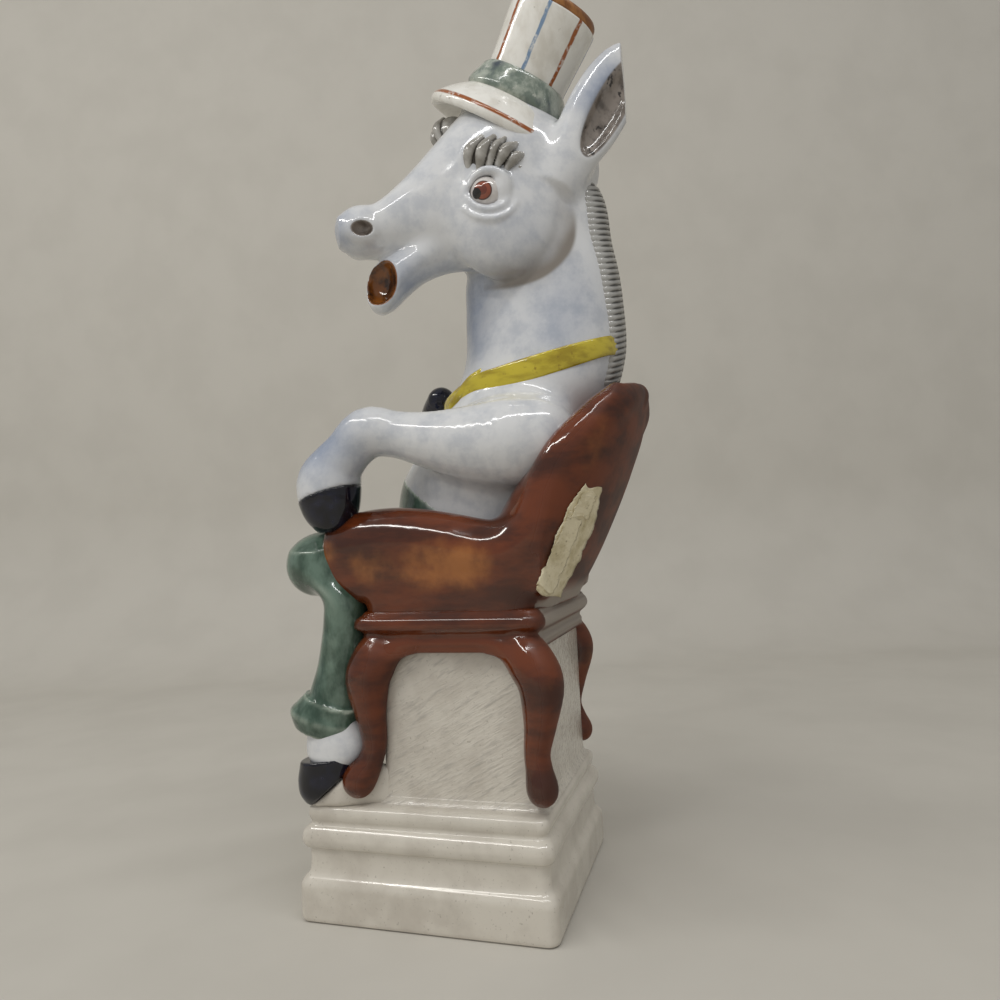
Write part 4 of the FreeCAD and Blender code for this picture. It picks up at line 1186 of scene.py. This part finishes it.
# %% Brows
LOCKS = [((0.92, -0.45), (0.88, 0.2), (0.45, 0.84)), ((0.6, -0.62), (0.5, 0.1), (0.1, 0.74)),
         ((0.32, -0.5), (0.14, 0.2), (-0.28, 0.8)), ((0.04, -0.46), (-0.22, 0.12), (-0.62, 0.56)),
         ((-0.26, -0.56), (-0.52, -0.12), (-0.86, 0.16)), ((-0.48, -0.78), (-0.7, -0.48), (-0.92, -0.3))]
LOCK_LIFT = 0.8


def brow_forms(centre, radii, outward):
    """Tuft over an eye: a soft mound, and locks that sweep up and back over it, each a tapering tube. A lock
    is given in the mound's own plane, and lifted onto the mound."""
    level = unit(np.cross(outward, UP)) * np.sign(np.cross(outward, UP) @ FORE)
    place = in_head(*centre)
    forms = [("add", ball(place, radii, (level, outward, UP)), NO_FILLET)]
    for number, lock in enumerate(LOCKS):
        path, thick = [], 1 + 0.2 * math.sin(2.3 * number)
        for a, b in lock:
            lift = math.sqrt(max(0.03, 1 - a * a - b * b))
            path.append(place + level * (a * radii[0]) + UP * (b * radii[2])
                        + outward * (lift * radii[1] + LOCK_LIFT))
        forms.append(("add", tube([(*path[0], 1.1), (*path[1], 1.85 * thick), (*path[2], thick)], 12), 0.35))
    return forms


BROWS = {"left": ((26, 13.8, 5), (10.4, 5.2, 8), LEFT),
         "right": ((34.5, -9.5, 25), (7.5, 6, 7.5), unit(FORE * 0.75 - LEFT * 0.66))}
BROW_REACH = 16
for side_name, (centre, radii, outward) in BROWS.items():
    middle = in_head(*centre)
    clay_piece(f"{side_name}_brow_tuft", (middle - BROW_REACH, middle + BROW_REACH, 0.4),
               brow_forms(centre, radii, outward), brow_finish, [f"{side_name}_brow"], 2, 6)

# %% [markdown]
# ## Eyes
# Each eye is a glazed ball with a brown iris and a pupil dabbed on off-centre, so that it glances forward.

# %% Painted eye
DAB_EDGE = 0.3


def eye_middle(side):
    return in_head(EYE_AT[0], side * EYE_AT[1], EYE_AT[2])


def eye_aim(side):
    return unit(LEFT * (side * 0.9) + FORE * 0.42 - UP * 0.14)


def eye_glaze(side_name, side):
    """White glaze with dabs, each a soft-edged disc: everything within a distance of a point on the ball. A
    thin dark line edges the iris."""
    eye = Glaze(f"painted_eye_{side_name}", 0.06, 0.6, "#D8D3CF", cloud=(4, 3.0), ripple=(3, 2.0))
    eye.lay("#BDB6B2", "cloud", 0.4, 0.7)
    glance = unit(LEFT * (side * 0.66) + FORE * 0.71 - UP * 0.26)
    for hue, aim, radius in (("#4A2A22", eye_aim(side), 3.3), ("#8E4A34", eye_aim(side), 2.9),
                             ("#6E3526", eye_aim(side), 1.7), ("#17130F", glance, 1.9)):
        spot = eye_middle(side) + aim * EYE_RADIUS
        eye.fields["away"] = eye.add("VectorMath", {0: eye.where, 1: tuple(spot * MM)}, "Value",
                                     operation="DISTANCE")
        eye.lay(hue, [{"away": -1 / MM}], -radius, -radius + DAB_EDGE)
    return eye.fired(0.1, 0.2)


def eye_grid(side, rows=48, columns=65):
    """Ball with its pole at the iris, bulging by a third of a millimetre there."""
    polar = np.linspace(0, math.pi, rows)
    turns = np.linspace(0, 2 * math.pi, columns)
    aim = eye_aim(side)
    first = unit(np.cross(aim, UP))
    second = np.cross(aim, first)
    radius = EYE_RADIUS + 0.3 * np.exp(-(polar / 0.5) ** 2)
    ring = first * np.cos(turns)[:, None] + second * np.sin(turns)[:, None]
    forward, sideways = ((radius * wave)[:, None, None] for wave in (np.cos(polar), np.sin(polar)))
    return eye_middle(side) + forward * aim + sideways * ring[None]


for side_name, side in (("left", 1), ("right", -1)):
    grid_piece(f"{side_name}_eye_painted", eye_grid(side), eye_glaze(side_name, side),
               [f"{side_name}_eye"])

# %% [markdown]
# ## The paper strip
# A strip of old gummed paper is left on the chair's flank: three torn layers, yellowed and brittle.

# %% Aged paper
# Wood-pulp paper, yellowed and matt: cloudy, with darker fibres about 2 mm long.
old_paper = Glaze("yellowed_gummed_paper", 0.85, 0.0, "#E3D9BB", cloud=(7, 4.0, 0.65),
                  fibre=(1.6, 3.0, 0.55, (1, 0.4, 1.3)), ripple=(2, 2.0))
old_paper.lay("#C5B994", "cloud", 0.4, 0.68)
old_paper.lay("#9A8D6E", "fibre", 0.6, 0.8)
paper_finish = old_paper.fired(0.3, 0.6, [{"ripple": 1, "fibre": 1}])
RAKE = math.radians(26)
PAPER_LONG = np.array([0, math.sin(RAKE), math.cos(RAKE)])
PAPER_WIDE = np.array([0, math.cos(RAKE), -math.sin(RAKE)])
PAPER_THICK = 0.24
SEEN_FROM = camera_at / MM
shell_tree = BVHTree.FromPolygons(shell_points.tolist(), shell_quads.tolist())


def lay_on_flank(points):
    """Where the camera's rays through the points meet the chair's shell, and the shell's normals there."""
    hits = [shell_tree.ray_cast(SEEN_FROM, point - SEEN_FROM) for point in points]
    return np.array([hit[0] for hit in hits]), np.array([hit[1] for hit in hits])


def torn_strip(centre, length, widths, lift, seed, rows=70, columns=16):
    """Thin closed strip on the flank. Its outline is torn: the edges wander by seeded noise, and both faces
    meet there. The widths are given from its foot to its top."""
    random = np.random.default_rng(seed)

    def wander(run, size):
        return np.convolve(random.normal(size=rows + 8), np.ones(run) / run, "same")[4:-4] * size

    along = np.linspace(-0.5, 0.5, rows)
    width = np.interp(along, np.linspace(-0.5, 0.5, len(widths)), widths)
    left_edge = -width / 2 + wander(5, 0.4)
    right_edge = width / 2 + wander(5, 0.4)
    across = np.linspace(0, 1, columns)
    v = left_edge[:, None] + (right_edge - left_edge)[:, None] * across[None]
    skew = 0.8 * np.sin(across * 5 + seed)[None, :]
    u = along[:, None] * length + skew * (np.abs(along)[:, None] * 2) ** 3
    flat = centre + u[..., None] * PAPER_LONG + v[..., None] * PAPER_WIDE
    face, out = (array.reshape(rows, columns, 3) for array in lay_on_flank(flat.reshape(-1, 3)))
    crinkle = wander(7, 0.25)
    edge = np.minimum(across, 1 - across)[None, :] * 2
    upper = face + out * (lift + 0.25 + crinkle[:, None] * edge + 0.25 * (1 - edge) ** 2)[..., None]
    lower = upper - out * PAPER_THICK * np.minimum(1, 6 * edge)[..., None]
    folded = np.concatenate([upper, upper[:, ::-1], upper[:, :1]], 1)
    loop = np.concatenate([upper, lower[:, ::-1], upper[:, :1]], 1)
    return np.concatenate([folded[:1], loop, folded[-1:]])


PAPER_MIDDLE = np.array([38, 50.6, 118])
strips = [("paper_strip_under", PAPER_MIDDLE, 35, (7, 8.4, 9.4, 9, 5), 0.0, 3, ["paper_strip"]),
          ("paper_strip_middle", PAPER_MIDDLE - PAPER_LONG * 4.5 - PAPER_WIDE * 1.6, 24, (5, 5.4, 4.4), 0.35,
           7, []),
          ("paper_strip_top", PAPER_MIDDLE + PAPER_LONG * 11.5 - PAPER_WIDE * 0.4, 8, (5, 4), 0.35, 11, [])]
for name, centre, length, widths, lift, seed, nodes in strips:
    grid_piece(name, torn_strip(centre, length, widths, lift, seed), paper_finish, nodes)

# %% [markdown]
# ## Floor and light
# A pale floor that curves up into a backdrop. Two long thin tubes hang above, to the camera's left and right,
# and give the narrow highlights that glaze shows. A large fill light, which reflections don't show, and a
# pale room lighten the shadows.

# %% Stage
# Backdrop paper: matt, with faint clouds of 60 mm.
PAPER_IOR = 1.5
stage_paper = Glaze("matt_backdrop_paper", 0.9, 0.0, "#C9C5BC", PAPER_IOR, cloud=(60, 3.0))
stage_paper.lay("#C5C1B8", "cloud", 0.35, 0.7)


def backdrop(rows=60, half=1.4, behind=0.42, bend=0.18):
    """Floor that runs back, curves up and rises: a line, a quarter circle and a line, drawn out sideways
    along the camera's own right."""
    flat = unit((toward[0], toward[1], 0))
    side = np.array([-flat[1], flat[0], 0])
    turns = np.linspace(0, math.pi / 2, rows - 2)
    run = np.concatenate([[1.2], -behind - bend * np.sin(turns), [-behind - bend]])
    rise = np.concatenate([[0.0], bend * (1 - np.cos(turns)), [1.6]])
    across = np.linspace(-half, half, 3)
    return flat * run[:, None, None] + UP * rise[:, None, None] + side * across[None, :, None]


grid = backdrop()
faces = grid_quads(*grid.shape[:2])
mesh = bpy.data.meshes.new("backdrop")
mesh.from_pydata(grid.reshape(-1, 3).tolist(), [], faces.tolist())
mesh.polygons.foreach_set("use_smooth", np.ones(len(faces), bool))
mesh.materials.append(stage_paper.fired())
floor = bpy.data.objects.new("backdrop", mesh)
scene.collection.objects.link(floor)


# %% Lights
def lamp(name, place, aim, size, watts, colour):
    """Area light at a place, turned to face a point."""
    data = bpy.data.lights.new(name, "AREA")
    data.shape = "RECTANGLE"
    data.size, data.size_y = size
    data.energy = watts
    data.color = linear(colour)[:3]
    item = bpy.data.objects.new(name, data)
    scene.collection.objects.link(item)
    away = unit(np.asarray(place, float) - np.asarray(aim, float))
    right = unit(np.cross(UP, away))
    stand(item, right, np.cross(away, right), away, place)
    return item


MIDDLE = (0, 0.01, 0.15)
TUBE, WINDOW = (1.1, 0.05), (1.2, 1.2)
lamp("left_tube", (0.62, -0.5, 1.0), MIDDLE, TUBE, 4.2, "#FFFDF8")
lamp("right_tube", (0.45, 0.35, 1.15), MIDDLE, TUBE, 3.6, "#FFFFFF")
fill = lamp("fill", (1.3, -0.2, 0.35), MIDDLE, WINDOW, 3, "#FAFBFF")
fill.visible_glossy = False
world = bpy.data.worlds.new("room")
scene.world = world
world.use_nodes = True
room = world.node_tree.nodes["Background"].inputs
room["Color"].default_value, room["Strength"].default_value = linear("#E4E3E1"), 0.46
